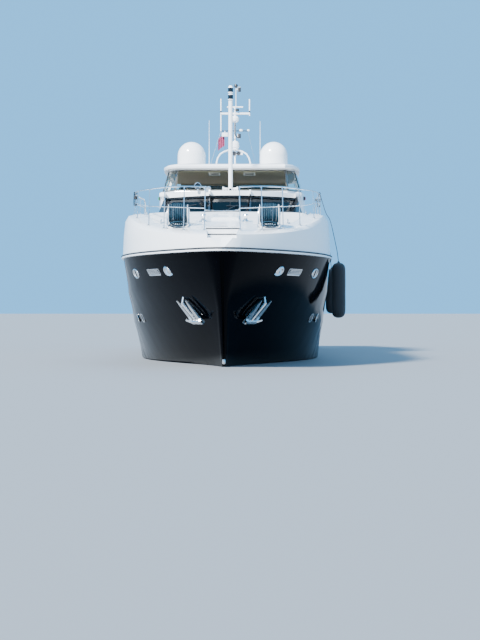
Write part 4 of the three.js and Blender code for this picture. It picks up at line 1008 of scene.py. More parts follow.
HAND_RAIL = [
    # x, station, height over the roof
    (0.50, 15.55, 0), (0.50, 15.55, 0.13), (1.40, 15.62, 0.13), (2.20, 15.80, 0.13), (2.20, 15.83, 0),
]
HAND_RAIL_POSTS = [
    # x, station
    (0.95, 15.58),
    (1.40, 15.62),
    (1.80, 15.71),
]
INTAKE_X = 1.30
roof_steel, roof_white, roof_dark_and_shade = bmesh.new(), bmesh.new(), bmesh.new()
lamp = placed(LAMP_X, LAMP_STATION, ROOF_Z + 0.19, "X", QUARTER)
turned(roof_steel, LAMP_SHELL, lamp)
turned(roof_dark_and_shade, LAMP_LENS, lamp)
turned(roof_steel, LAMP_FOOT, placed(LAMP_X, LAMP_STATION, ROOF_Z))
for x, length in HORNS:
    trumpet = [(0, 0), (0.03, 0), (0.035, 0.05), (0.018, 0.08), (0.022, length * 0.6), (0.04, length * 0.85),
               (0.075, length), (0.068, length), (0.03, length * 0.86), (0, length * 0.8)]
    turned(roof_steel, trumpet, placed(x, 14.1, ROOF_Z + 0.10, "X", QUARTER), steps=24)
rounded_plate(roof_steel, 0.26, 0.10, 0.07, 0.02, placed(-0.86, 14.06, ROOF_Z))
turned(roof_dark_and_shade, CAMERA_DOME, placed(0, 13.95, ROOF_Z))
for side in (1, -1):
    line = [(side * x, at(station), ROOF_Z + rise) for x, station, rise in HAND_RAIL]
    sweep(roof_steel, through(line, 4), 0.014, sides=8)
    for x, station in HAND_RAIL_POSTS:
        head = (side * x, at(station), ROOF_Z + 0.13)
        bar(roof_steel, (side * x, at(station), ROOF_Z - 0.005), head, 0.010)
    # A black plate behind the intake's slats: painted shade for its opening.
    rounded_plate(roof_dark_and_shade, 1.50, 0.10, 0.006, 0.03, placed(side * INTAKE_X, 16.119, 6.355, "X", QUARTER))
    for i in range(3):
        slat = placed(side * INTAKE_X, 16.114, 6.325 + i * 0.03, "X", QUARTER - 0.4)
        rounded_plate(roof_white, 1.46, 0.008, 0.012, 0.002, slat, edge=0)
    disc(roof_white, 0.07, 0.03, placed(side * 2.60, 14.72, ROOF_Z), steps=20)
for side in (1, -1):
    hailer = placed(side * 0.10, HAILER_STATION, ROOF_Z + 0.10, "Y", side * QUARTER)
    turned(roof_white, HAILER, hailer, steps=24)
    head = (side * 0.16, at(HAILER_STATION), ROOF_Z + 0.09)
    bar(roof_white, (side * 0.16, at(HAILER_STATION), ROOF_Z - 0.005), head, 0.02)
piece_from(roof_steel, "roof_gear", polished_steel)
piece_from(roof_white, "roof_slats", gelcoat)
piece_from(roof_dark_and_shade, "roof_lenses", band_black)

# Side lights: a red lamp to port and a green one to starboard, each a turned lens that stands
# on a black plastic housing on the bridge coaming.
SIDE_LIGHTS = [
    # side, its name, colour of the lens
    (1, "port", (0.55, 0.01, 0.01)),
    (-1, "starboard", (0.01, 0.36, 0.08)),
]
housings = bmesh.new()
for side, side_name, colour in SIDE_LIGHTS:
    rounded_plate(housings, 0.07, 0.26, 0.15, 0.012, placed(side * 2.905, 17.9, 6.20))
    lens_work = bmesh.new()
    disc(lens_work, 0.05, 0.11, placed(side * 2.925, 17.85, 6.22), steps=20)
    darker = [channel * 0.6 for channel in colour]
    lens_finish = plain_finish("lamp_" + side_name, colour, darker, (0.08, 0.2), grain=(60, 0.2))
    piece_from(lens_work, "side_light_" + side_name, lens_finish)
piece_from(housings, "side_light_housings", black_plastic)

# Bridge glazing: the clear panes are bonded over the frame, whose faces between and above the
# panes are finished in bronze-grey so that the glass reads as one band.
FRAME_FOOT = 6.45
FRAME_TOP = 7.299
FRAME_AFT = 17.75


def on_bridge_front(face):
    """True for the outer faces of the bridge's front and corner frames."""
    outward = Vector((face.center.x * 0.4, -1, 0))
    in_band = FRAME_FOOT < face.center.z < FRAME_TOP and face.center.y < at(FRAME_AFT)
    return in_band and abs(face.normal.z) < 0.7 and face.normal.dot(outward) > 0.35


frame_bronze = plain_finish("frame_bronze", (0.085, 0.080, 0.064), (0.065, 0.061, 0.050), (0.1, 0.2),
                            grain=(20, 0.03))
painted("hardtop_skin", frame_bronze, on_bridge_front)

# Upper bridge inside: a cream lining under the hardtop with two framed roof hatches, a black
# dash with three screens, a steel wheel and a curtain box. It shows through the clear glass.
LINING_OUTLINE = [(1.96, 16.62), (2.36, 17.5), (2.54, 18.8), (2.54, 21.0), (2.44, 22.6)]
LINING_Z = 7.272
DASH_OUTLINE = [(-1.98, 16.62), (1.98, 16.62), (2.10, 16.98), (-2.10, 16.98)]
DASH_Z = 6.402
DASH_SCREENS = (-0.75, 0, 0.75)
SCREEN_LEAN = 62
WHEEL_RADIUS = 0.19
WHEEL_LEAN = -65
SPOKE_TURNS = (math.pi / 2, math.pi * 7 / 6, math.pi * 11 / 6)
lining_cream = plain_finish("lining_cream", (0.60, 0.54, 0.41), (0.52, 0.46, 0.35), (0.6, 0.8),
                            grain=(180, 0.3))
lining = bmesh.new()
outline_face(lining, [(x, at(s), LINING_Z) for x, s in both_sides(LINING_OUTLINE)], 0.05)
bmesh.ops.recalc_face_normals(lining, faces=lining.faces[:])
bmesh.ops.solidify(lining, geom=lining.faces[:], thickness=0.02)
bmesh.ops.recalc_face_normals(lining, faces=lining.faces[:])
piece_from(lining, "bridge_lining", lining_cream)
hatch_frames, hatch_panes = bmesh.new(), bmesh.new()
for x in (-0.70, 0.70):
    under = placed(x, 17.6, 7.252, "X", math.pi)
    rim_plate(hatch_frames, 0.46, 1.10, 0.03, 0.04, under, 0.05)
    rounded_plate(hatch_panes, 0.36, 1.00, 0.006, 0.02, under @ Matrix.Translation((0, 0, 0.010)))
piece_from(hatch_frames, "roof_hatch_frames", gelcoat)
piece_from(hatch_panes, "roof_hatch_panes", vent_grey)
dash, wheel, curtain_box = bmesh.new(), bmesh.new(), bmesh.new()
outline_face(dash, [(x, at(s), DASH_Z) for x, s in DASH_OUTLINE], 0.03)
raised(dash, (0, 0.05, 0.30))
for x in DASH_SCREENS:
    rounded_plate(dash, 0.46, 0.26, 0.03, 0.02, placed(x, 17.08, 6.405, "X", math.radians(SCREEN_LEAN)))
piece_from(dash, "bridge_dash", black_plastic)
slab(curtain_box, both_sides([(2.30, 22.52), (2.26, 22.68)]), 7.13, 0.145, 0.03)
piece_from(curtain_box, "bridge_curtain_box", lining_cream)
hub = placed(0, 17.42, 6.18, "X", math.radians(WHEEL_LEAN))
ring(wheel, WHEEL_RADIUS, 0.016, hub, steps=36)
for turn in SPOKE_TURNS:
    spoke_end = Vector((math.cos(turn), math.sin(turn), 0)) * (WHEEL_RADIUS - 0.005)
    bar(wheel, hub.translation, hub @ spoke_end, 0.010)
bar(wheel, hub @ Vector((0, 0, 0.03)), hub @ Vector((0, 0, -0.12)), 0.03)
piece_from(wheel, "bridge_wheel", polished_steel)

# Satellite domes: two white shells each, moulded in glass fibre and screwed together along a
# seam, on a short turned foot bolted to the hardtop.
DOME_X = 1.70
DOME_STATION = 19.5
DOME_FOOT = 7.48
DOME_RADIUS = 0.578
DOME_BOLTS = 12
seams = bmesh.new()
for side in (1, -1):
    dome = placed(side * DOME_X, DOME_STATION, DOME_FOOT)
    ring(seams, DOME_RADIUS + 0.001, 0.006, dome @ Matrix.Translation((0, 0, 0.30)), steps=64, sides=6)
    for i in range(DOME_BOLTS):
        around = math.tau * i / DOME_BOLTS
        bolt = dome @ Vector((DOME_RADIUS * math.cos(around), DOME_RADIUS * math.sin(around), 0.27))
        half_bolt = Vector((0, 0, 0.012))
        bar(seams, bolt - half_bolt, bolt + half_bolt, 0.008, sides=8)
piece_from(seams, "dome_seams", vent_grey)

# Signal pole and mast lights: the lamps are drums of ribbed dark glass between white caps, each
# turned and stacked on a welded aluminium pole.
POLE_STATION = 14.6
POLE_LAMPS = (9.815, 10.085)
LAMP_RIBS = [(0.097 + 0.003 * (i % 2), 0.02 + i * 0.02) for i in range(8)]
LAMP_DRUM = [(0, 0.01), (0.097, 0.01)] + LAMP_RIBS + [(0.097, 0.18), (0, 0.18)]
LOWER_CAP = [(0, -0.012), (0.103, -0.012), (0.103, 0.012), (0, 0.012)]
UPPER_CAP = [(0, 0.178), (0.103, 0.178), (0.09, 0.20), (0, 0.205)]
lamp_glass, lamp_caps = bmesh.new(), bmesh.new()
for low in POLE_LAMPS:
    place = placed(0, POLE_STATION, low)
    turned(lamp_glass, LAMP_DRUM, place, steps=28)
    turned(lamp_caps, LOWER_CAP, place, steps=28)
    turned(lamp_caps, UPPER_CAP, place, steps=28)
piece_from(lamp_glass, "pole_lamps", band_black)
piece_from(lamp_caps, "pole_lamp_caps", gelcoat)

# Mast fittings: dark cable boxes, a bent black vent pipe, hailers, lamps, clamps and small
# aerials on the post and yards, in painted aluminium and plastic. Two long whip aerials stand
# on the hardtop beside the arch.
MAST_STATION = 21.4
VENT_PIPE = [
    # x, height, step ahead of the mast
    (0.07, 9.74, 0.10), (0.07, 9.44, 0.12), (0.08, 9.24, 0.12), (0.16, 9.13, 0.12), (0.24, 9.15, 0.12),
]
BOX_HEIGHTS = (9.19, 11.16)
CLAMP = [(0, 0), (0.052, 0), (0.052, 0.022), (0, 0.022)]
AERIAL_CAP = [(0, 0), (0.032, 0), (0.032, 0.06), (0.02, 0.075), (0, 0.075)]
MAST_HEAD_LAMP = [(0, -0.003), (0.055, 0.01), (0.088, 0.085), (0.064, 0.152), (0, 0.169)]
POST_LAMP = [(0, 0), (0.075, 0), (0.075, 0.09), (0, 0.09)]
DARK_TURNINGS = [
    # x, height, step ahead of the mast, profile, facets
    (0.07, 8.82, 0, CLAMP, 20),
    (0.07, 9.05, 0, CLAMP, 20),
    (0.07, 10.02, 0, CLAMP, 20),
    (0.07, 10.30, 0, CLAMP, 20),
    (-0.53, 10.20, 0, AERIAL_CAP, 16),
    (0.69, 10.20, 0, AERIAL_CAP, 16),
    (0.11, 11.25, 0, MAST_HEAD_LAMP, 24),
    (0.17, 10.25, 0.05, POST_LAMP, 16),
]
YARD_HEIGHT = 9.415
MAST_HAILERS = (0.035, 0.225)
HAILER_HORN = [(0, 0), (0.05, 0), (0.06, 0.12), (0.088, 0.20), (0.080, 0.20), (0.05, 0.13), (0, 0.10)]
HAILER_THROAT = [(0, 0.11), (0.05, 0.13), (0.074, 0.19), (0, 0.185)]
RADAR_FOOT = [(0, -0.34), (0.12, -0.34), (0.14, -0.36), (0.14, -0.38), (0, -0.38)]
WHIP_FOOT = [(0, 0), (0.06, 0), (0.06, 0.015), (0.026, 0.03), (0.026, 0.16), (0.017, 0.18), (0.017, 0.5),
             (0, 0.5)]
WHIPS = [
    # x, station, foot, top
    (-1.03, 21.4, 7.48, 9.87),
    (1.14, 21.4, 7.48, 9.83),
]


def at_mast(x, z, ahead=0.0):
    return Vector((x, at(MAST_STATION) - ahead, z))


def mast_place(x, z, ahead=0.0):
    return Matrix.Translation(at_mast(x, z, ahead))


facing_ahead = Matrix.Rotation(QUARTER, 4, "X")
mast_black, mast_white = bmesh.new(), bmesh.new()
sweep(mast_black, through([at_mast(*bend) for bend in VENT_PIPE], 4), 0.028, sides=10)
for z in BOX_HEIGHTS:
    rounded_plate(mast_black, 0.13, 0.19, 0.05, 0.015, mast_place(0.26, z, 0.07) @ facing_ahead)
for x, z, ahead, profile, facets in DARK_TURNINGS:
    turned(mast_black, profile, mast_place(x, z, ahead), facets)
bar(mast_black, at_mast(-0.555, YARD_HEIGHT), at_mast(0.645, YARD_HEIGHT), 0.0205)
for x in MAST_HAILERS:
    hailer = mast_place(x, 8.43, 0.07) @ facing_ahead
    turned(mast_white, HAILER_HORN, hailer, steps=28)
    ring(mast_black, 0.086, 0.010, hailer @ Matrix.Translation((0, 0, 0.20)), steps=28, sides=8)
    turned(mast_black, HAILER_THROAT, hailer, steps=28)
rounded_plate(mast_white, 0.26, 0.16, 0.12, 0.02, mast_place(-0.36, 9.245, 0.04) @ facing_ahead)
bar(mast_white, at_mast(-0.36, 9.32, 0.08), at_mast(-0.36, 9.42), 0.014)
turned(mast_white, RADAR_FOOT, mast_place(0.085, 8.995), steps=24)
for x, station, low, top in WHIPS:
    turned(mast_white, WHIP_FOOT, placed(x, station, low), steps=16)
    bar(mast_white, (x, at(station), low + 0.49), (x, at(station), top), 0.015, sides=8, far_radius=0.006)
piece_from(mast_black, "mast_black_fittings", black_plastic)
piece_from(mast_white, "mast_white_fittings", gelcoat)

# Stays: thin steel wires from the lower yard down to the hardtop, held by turnbuckles.
# Each stands in a small turned foot.
STAYS = [
    # x and height of the head, x and height of the foot
    (0.62, 9.41, 1.06, 7.50),
    (-0.53, 9.41, -1.13, 7.50),
]
STAY_FOOT = [(0, 0), (0.035, 0), (0.035, 0.01), (0.015, 0.02), (0, 0.02)]
stays = bmesh.new()
for head_x, head_z, foot_x, foot_z in STAYS:
    top = at_mast(head_x, head_z)
    low = at_mast(foot_x, foot_z)
    bar(stays, low, top, 0.008, sides=8)
    along = (top - low).normalized()
    bar(stays, low + along * 0.06, low + along * 0.26, 0.016, sides=8)
    turned(stays, STAY_FOOT, mast_place(foot_x, foot_z - 0.018), steps=16)
piece_from(stays, "mast_stays", polished_steel)

# Courtesy flag: a plain piece of crimson bunting that hangs limp, in deep folds, under the
# lower yard. It is made fast along its hoist to a thin black halyard.
FLAG_X = -0.36
FLAG_TOP = 9.27
FLAG_HOIST = 0.50
FLAG_FLY = 0.62
FLAG_STEPS = 60
FLAG_SHARE = 0.8
FLAG_DROOP = 0.20


def flag_finish():
    finish = Finish("bunting")
    colour = finish.blended(finish.noise(7), (0.42, 0.030, 0.10, 1), (0.22, 0.015, 0.08, 1))
    finish.shade(Base_Color=colour, Roughness=0.85, Sheen_Weight=0.4)
    finish.bumped(finish.wave(180, "Z"), 0.2, 0.001)
    return finish.material


flag_work = bmesh.new()
bmesh.ops.create_grid(flag_work, x_segments=FLAG_STEPS, y_segments=16, size=0.5)
fold_line = [Vector((0, 0))]
for i in range(FLAG_STEPS):
    run = (i + 0.5) / FLAG_STEPS
    heading = (1.50 - 0.12 * run) * math.sin(run * 19.0)
    stride = Vector((math.cos(heading), math.sin(heading))) * (FLAG_FLY / FLAG_STEPS)
    fold_line.append(fold_line[-1] + stride)
for vertex in flag_work.verts:
    column = round((vertex.co.x + 0.5) * FLAG_STEPS)
    droop = FLAG_DROOP * (column / FLAG_STEPS) ** 1.5
    fold = fold_line[column] * FLAG_SHARE
    height = FLAG_TOP + (vertex.co.y - 0.5) * FLAG_HOIST - droop
    vertex.co = Vector((FLAG_X - 0.02 - fold.x, at(MAST_STATION) + fold.y, height))
flag = piece_from(flag_work, "courtesy_flag", flag_finish())
halyard = bmesh.new()
bar(halyard, at_mast(FLAG_X, 8.50), at_mast(FLAG_X, YARD_HEIGHT), 0.004, sides=6)
piece_from(halyard, "flag_halyard", black_rubber)

# Laid decks: teak strips, 55 mm wide and glued down, with black caulking between them. The main
# deck is teak from side to side; the swim platform, the upper deck, the wheelhouse floor and
# the stern stairs have inlaid panels.
PLANK = 0.055
PLANK_LENGTH = 2.1
CAULK = 0.10
BUTT = 0.0028
CAULKING = (0.012, 0.012, 0.012, 1)
STAIR_X = 2.635
STAIR_TREADS = 10
STAIR_FORE = 27.02
STAIR_GOING = 0.24


def share_of(finish, number):
    """A random share for each whole number."""
    made = finish.node("TexWhiteNoise")
    made.noise_dimensions = "1D"
    finish.link(made.inputs["W"], number)
    return made.outputs["Value"]


def make_teak():
    finish = Finish("teak")
    axes = finish.node("SeparateXYZ", Vector=finish.place()).outputs
    count = finish.calc("DIVIDE", axes["X"], PLANK)
    strip = finish.calc("FLOOR", count)
    joint = finish.calc("LESS_THAN", finish.calc("FRACT", count), CAULK)
    run = finish.calc("ADD", finish.calc("DIVIDE", axes["Y"], PLANK_LENGTH), share_of(finish, strip))
    butt = finish.calc("LESS_THAN", finish.calc("FRACT", run), BUTT)
    dark = finish.calc("MAXIMUM", joint, butt)
    board = finish.calc("ADD", finish.product(strip, 7.31), finish.calc("FLOOR", run))
    grain = finish.noise(30, 5, (1, 0.05, 1))
    tone = finish.calc("ADD", finish.product(share_of(finish, board), 0.45), finish.product(grain, 0.6))
    wood = finish.blended(tone, (0.40, 0.25, 0.13, 1), (0.24, 0.13, 0.06, 1))
    finish.shade(Base_Color=finish.blended(dark, wood, CAULKING), Roughness=finish.spread(grain, 0.5, 0.7))
    finish.bumped(finish.calc("SUBTRACT", finish.product(grain, 0.3), dark), 0.5, 0.002)
    return finish.material


teak = make_teak()
finish_node("main_deck", teak)
inlays = bmesh.new()
slab(inlays, both_sides([(2.80, 29.55), (2.72, 30.80)]), 0.519, 0.008, 0.12)
slab(inlays, both_sides([(2.52, 17.45), (2.76, 18.5), (2.76, 22.0), (2.40, 27.9)]), 5.449, 0.008, 0.05)
slab(inlays, oblong(-0.62, 0.62, 12.9, 13.7), 4.04, 0.006, 0.05)
for side in (1, -1):
    for i in range(STAIR_TREADS):
        station = STAIR_FORE + STAIR_GOING * i
        spot, _ = below(hull_tree, side * STAIR_X, at(station), 4)
        tread = placed(side * STAIR_X, station, spot.z)
        rounded_plate(inlays, 0.66, 0.19, 0.008, 0.02, tread, edge=0.002)
piece_from(inlays, "teak_inlays", teak)

# Platform edge: a black rubber strip is bonded round the swim platform, and two folding
# handholds and a ladder lid are let into its top. Hand rails run down beside the stairs.
EDGE_LINE = [
    # x, station
    (2.985, 29.5), (2.985, 30.55), (2.90, 30.80), (2.70, 30.925), (0, 30.930),
    (-2.70, 30.925), (-2.90, 30.80), (-2.985, 30.55), (-2.985, 29.5),
]
HANDHOLD = [
    # station, height
    (30.55, 0.524), (30.56, 0.60), (30.66, 0.60), (30.67, 0.524),
]
HANDHOLD_X = (-2.3, -1.7)
STAIR_RAIL_X = 2.27
STAIR_RAIL = [
    # station, height
    (26.75, 3.95), (27.1, 3.85), (28.9, 2.05), (29.15, 1.72),
]
STAIR_POSTS = [
    # station, foot, head
    (26.85, 3.12, 3.92),
    (28.85, 1.55, 2.11),
]
CLEAT_X = 3.22
STERN_CLEATS = (25.6, 28.5)
strip_work, platform_steel = bmesh.new(), bmesh.new()
sweep(strip_work, [(x, at(s), 0.44) for x, s in EDGE_LINE], 0.026, sides=8)
piece_from(strip_work, "platform_fender_strip", black_rubber)
rounded_plate(platform_steel, 0.55, 0.75, 0.008, 0.04, placed(2.0, 30.3, 0.526))
for x in HANDHOLD_X:
    sweep(platform_steel, through([(x, at(s), z) for s, z in HANDHOLD], 3), 0.012, sides=8)
for side in (1, -1):
    x = side * STAIR_RAIL_X
    sweep(platform_steel, through([(x, at(s), z) for s, z in STAIR_RAIL], 4), 0.018, sides=10)
    for station, low, high in STAIR_POSTS:
        bar(platform_steel, (x, at(station), low), (x, at(station), high), 0.014)
    for station in STERN_CLEATS:
        spot, _ = below(hull_tree, side * CLEAT_X, at(station), 6)
        cleat(platform_steel, Matrix.Translation(spot), length=0.32)
piece_from(platform_steel, "stern_fittings", polished_steel)

# Bulwark capping: a varnished teak rail, 28 mm thick, is screwed along the top of each bulwark.
# Its outline is taken from the bulwark's own top faces.
CAP_THICK = 0.028
CAP_FOOT = 3.5
varnish = plain_finish("varnished_teak", (0.26, 0.11, 0.035), (0.16, 0.06, 0.02), (0.08, 0.16),
                       clouds=5, coat=0.6)
capping = bmesh.new()
for _, side_name in SIDES:
    cap = merged_copy("bulwark_" + side_name)
    under = [f for f in cap.faces if f.normal.z < 0.7 or f.calc_center_median().z < CAP_FOOT]
    bmesh.ops.delete(cap, geom=under, context="FACES")
    bmesh.ops.dissolve_limit(cap, angle_limit=0.02, verts=cap.verts[:], edges=cap.edges[:])
    raised(cap, (0, 0, CAP_THICK))
    bevelled(cap, [e for e in cap.edges if e.is_manifold and e.calc_face_angle(0) > 0.7], 0.007, 3)
    joined_into(capping, cap)
piece_from(capping, "bulwark_capping", varnish)

# Saloon sides: each long window has a black rubber gasket in its opening and two black glazing
# bars. The doors that slide past stay clear of them.
WINDOW_EDGE = [
    # station, height
    (18.45, 3.78), (24.35, 3.78), (24.75, 4.90), (18.00, 4.90),
]
GASKET_X = 2.722
GLAZING_BARS = (20.15, 22.25)
gaskets, glazing_bars = bmesh.new(), bmesh.new()
for side in (1, -1):
    sweep(gaskets, [(side * GASKET_X, at(s), z) for s, z in WINDOW_EDGE], 0.012, sides=6, closed=True)
    for station in GLAZING_BARS:
        bar_place = placed(side * 2.711, station, 4.34, "Y", side * QUARTER)
        rounded_plate(glazing_bars, 1.11, 0.07, 0.012, 0.01, bar_place)
piece_from(gaskets, "window_gaskets", black_rubber)
piece_from(glazing_bars, "window_bars", band_black)

# Saloon doors: toughened dark glass in the sliding leaves, with polished pull handles. Each
# piece slides with its own leaf.
PULL_STATION = 17.46
LEAF_PULL_X = 0.03
LEAF_PULL_STATION = 25.245
LEAVES = [
    # piece, body, x, station, z, height of the glass
    ("saloon_door_glass", "saloon_door", 0.742, 25.190, 4.152, 1.840),
    ("saloon_fixed_glass", "root", -0.75, 25.144, 4.155, 1.846),
]
for side, side_name in SIDES:
    door_glass, door_steel = bmesh.new(), bmesh.new()
    pane = placed(side * 2.772, 17.10, 4.525, "Y", side * QUARTER)
    rounded_plate(door_glass, 1.046, 0.576, 0.008, 0.004, pane, edge=0)
    piece_from(door_glass, "side_door_glass_" + side_name, dark_glass, "side_door_" + side_name)
    pull_x = side * 2.835
    for z in (3.98, 4.32):
        bar(door_steel, (side * 2.79, at(PULL_STATION), z), (pull_x, at(PULL_STATION), z), 0.010)
    bar(door_steel, (pull_x, at(PULL_STATION), 3.95), (pull_x, at(PULL_STATION), 4.35), 0.013)
    lock = placed(side * 2.794, PULL_STATION, 3.80, "Y", side * QUARTER)
    rounded_plate(door_steel, 0.12, 0.05, 0.006, 0.01, lock)
    piece_from(door_steel, "side_door_handle_" + side_name, polished_steel, "side_door_" + side_name)
for name, body, x, station, z, tall in LEAVES:
    leaf_glass = bmesh.new()
    rounded_plate(leaf_glass, 1.36, tall, 0.008, 0.004, placed(x, station, z, "X", QUARTER), edge=0)
    piece_from(leaf_glass, name, dark_glass, body)
pull = bmesh.new()
for z in (3.95, 4.45):
    bar(pull, (LEAF_PULL_X, at(25.20), z), (LEAF_PULL_X, at(LEAF_PULL_STATION), z), 0.010)
leaf_pull = (LEAF_PULL_X, at(LEAF_PULL_STATION))
bar(pull, (*leaf_pull, 3.90), (*leaf_pull, 4.50), 0.014)
piece_from(pull, "saloon_door_handle", polished_steel, "saloon_door")

# Saloon inside: a pale carpet, a cream ceiling with down lights, a low table and a sideboard in
# dark joinery stand where they show through the glass.
CEILING_Z = 5.27
DOWN_LIGHT = [(0, 0), (0.05, 0), (0.045, -0.012), (0, -0.012)]
DOWN_LIGHT_X = 1.3
DOWN_LIGHT_STATIONS = (18.2, 20.0, 21.8, 23.6)
TABLE_LEGS_X = (-1.15, -0.55)
TABLE_LEG_STATIONS = (19.5, 20.9)
DRAWER_STATIONS = (19.6, 20.6, 21.6)
FURNITURE_SLABS = [
    # x0, x1, station fore, station aft, foot, thickness, corner
    (-1.25, -0.45, 19.4, 21.0, 3.52, 0.04, 0.05),
    (1.75, 2.30, 18.6, 22.6, 3.13, 0.62, 0.02),
    (1.72, 2.33, 18.57, 22.63, 3.75, 0.03, 0.02),
]
carpet_grey = plain_finish("carpet", (0.42, 0.39, 0.34), (0.34, 0.31, 0.27), (0.85, 0.98), grain=(600, 0.7))
carpet, ceiling, down_lights, furniture = [bmesh.new() for _ in range(4)]
slab(carpet, both_sides([(1.70, 17.9), (1.70, 24.6)]), 3.129, 0.012, 0.05)
piece_from(carpet, "saloon_carpet", carpet_grey)
slab(ceiling, both_sides([(2.55, 16.6), (2.55, 25.0)]), CEILING_Z, 0.018, 0.05)
piece_from(ceiling, "saloon_ceiling", lining_cream)
for x in (-DOWN_LIGHT_X, DOWN_LIGHT_X):
    for station in DOWN_LIGHT_STATIONS:
        turned(down_lights, DOWN_LIGHT, placed(x, station, CEILING_Z), steps=20)
piece_from(down_lights, "saloon_down_lights", polished_steel)
for x0, x1, s0, s1, foot, thick, corner in FURNITURE_SLABS:
    slab(furniture, oblong(x0, x1, s0, s1), foot, thick, corner)
for x in TABLE_LEGS_X:
    for station in TABLE_LEG_STATIONS:
        bar(furniture, (x, at(station), 3.13), (x, at(station), 3.53), 0.025, far_radius=0.032)
for station in DRAWER_STATIONS:
    rounded_plate(furniture, 0.52, 0.94, 0.012, 0.01, placed(1.749, station, 3.45, "Y", -QUARTER))
piece_from(furniture, "saloon_furniture", joinery)

# Cockpit: a varnished teak table on two turned steel legs stands ahead of the after sofa.
# The legs are bolted to the deck through their flanges.
TABLE_LEG = [(0, 0), (0.17, 0), (0.17, 0.012), (0.06, 0.03), (0.045, 0.08), (0.045, 0.62), (0.08, 0.69),
             (0.08, 0.70), (0, 0.70)]
table_top, table_legs = bmesh.new(), bmesh.new()
slab(table_top, oblong(-0.85, 0.85, 26.25, 27.05), 3.83, 0.035, 0.12)
piece_from(table_top, "cockpit_table_top", varnish)
for x in (-0.45, 0.45):
    turned(table_legs, TABLE_LEG, placed(x, 26.65, 3.13), steps=28)
piece_from(table_legs, "cockpit_table_legs", polished_steel)

# Cushions: foam pads in sewn covers, on built-in bases. Each kind of pad is blown up from a
# slack box with a cloth simulation, then piped round its edge, and copied to its places.
CUSHION_VOXEL = 0.032
CUSHION_SWELL = 0.030
CUSHION_CORNER = 0.035
CUSHION_PRESSURE = 4
SIM_FRAMES = 20
PIPING = 0.006
PIPING_STEPS = 96
PAD_SIZES = {
    # kind: width, depth, height
    "seat": (0.98, 0.66, 0.17),
    "back": (0.98, 0.38, 0.13),
}
BACK_THICK = 0.11
BACK_LEAN = -84


def make_fabric(name, light, dark, weave_scale):
    finish = Finish(name)
    threads = finish.calc("ADD", finish.wave(weave_scale, "X"), finish.wave(weave_scale, "Y"))
    weave = finish.product(threads, finish.wave(weave_scale, "Z"))
    cloud = finish.noise(3.5, 5)
    share = finish.calc("ADD", finish.product(cloud, 0.8), finish.product(weave, 0.2))
    finish.shade(Base_Color=finish.blended(share, light, dark), Roughness=finish.spread(cloud, 0.8, 0.95),
                 Sheen_Weight=0.3)
    finish.bumped(finish.calc("ADD", weave, cloud), 0.3, 0.002)
    return finish.material


def stood_up(name, mesh):
    made = bpy.data.objects.new(name, mesh)
    bpy.context.collection.objects.link(made)
    return made


def applied(source):
    """The mesh that an object's modifiers make; the object itself is removed."""
    graph = bpy.context.evaluated_depsgraph_get()
    mesh = bpy.data.meshes.new_from_object(source.evaluated_get(graph))
    bpy.data.objects.remove(source)
    return mesh


def slack_pad(width, depth, tall):
    slack = CUSHION_SWELL * 0.9
    size = Matrix.Diagonal((width - slack, depth - slack, tall - slack, 1))
    work = bmesh.new()
    bmesh.ops.create_cube(work, size=1)
    bmesh.ops.transform(work, matrix=size, verts=work.verts[:])
    bevelled(work, work.edges[:], CUSHION_CORNER, 4)
    mesh = bpy.data.meshes.new("slack_pad")
    work.to_mesh(mesh)
    work.free()
    pad = stood_up("slack_pad", mesh)
    voxels = pad.modifiers.new("voxels", "REMESH")
    voxels.mode = "VOXEL"
    voxels.voxel_size = CUSHION_VOXEL
    return stood_up("cut_pad", applied(pad))


def plump_pad(width, depth, tall):
    """A sewn pad, its foot flat on z = 0 and centred on the origin, as a mesh."""
    pad = slack_pad(width, depth, tall)
    rest = [v.co.copy() for v in pad.data.vertices]
    cloth = pad.modifiers.new("cloth", "CLOTH")
    cloth.settings.use_pressure = True
    cloth.settings.uniform_pressure_force = CUSHION_PRESSURE
    cloth.settings.effector_weights.gravity = 0
    cloth.point_cache.frame_end = SIM_FRAMES
    for step in range(1, SIM_FRAMES + 1):
        bpy.context.scene.frame_set(step)
    mesh = applied(pad)
    bpy.context.scene.frame_set(1)
    for vertex, start in zip(mesh.vertices, rest):
        moved_by = vertex.co - start
        if moved_by.length > CUSHION_SWELL:
            vertex.co = start + moved_by.normalized() * CUSHION_SWELL
        vertex.co.z = max(vertex.co.z + tall / 2, 0.0)
    fine_pad = stood_up("fine_pad", mesh)
    finer = fine_pad.modifiers.new("finer", "SUBSURF")
    finer.levels = finer.render_levels = 1
    return applied(fine_pad)


def piped(pad_mesh, width, depth, tall):
    """The pad with a corded seam round its upper and lower edges."""
    work = bmesh.new()
    work.from_mesh(pad_mesh)
    tree = BVHTree.FromBMesh(work)
    for level in (tall * 0.86, tall * 0.14):
        line = []
        for i in range(PIPING_STEPS):
            around = math.tau * i / PIPING_STEPS
            c, s = math.cos(around), math.sin(around)
            x = math.copysign(abs(c) ** 0.22, c) * width / 2
            y = math.copysign(abs(s) ** 0.22, s) * depth / 2
            line.append(tree.find_nearest(Vector((x, y, level)))[0])
        sweep(work, line, PIPING, sides=6, closed=True)
    return work


seat_cloth = make_fabric("seat_cloth", (0.66, 0.62, 0.54, 1), (0.52, 0.48, 0.41, 1), 260)
deck_canvas = make_fabric("deck_canvas", (0.74, 0.73, 0.70, 1), (0.62, 0.61, 0.58, 1), 220)
pad_meshes = {}
for kind, pad_size in PAD_SIZES.items():
    finished_pad = piped(plump_pad(*pad_size), *pad_size)
    pad_meshes[kind] = bpy.data.meshes.new(kind + "_pad")
    finished_pad.to_mesh(pad_meshes[kind])
    finished_pad.free()

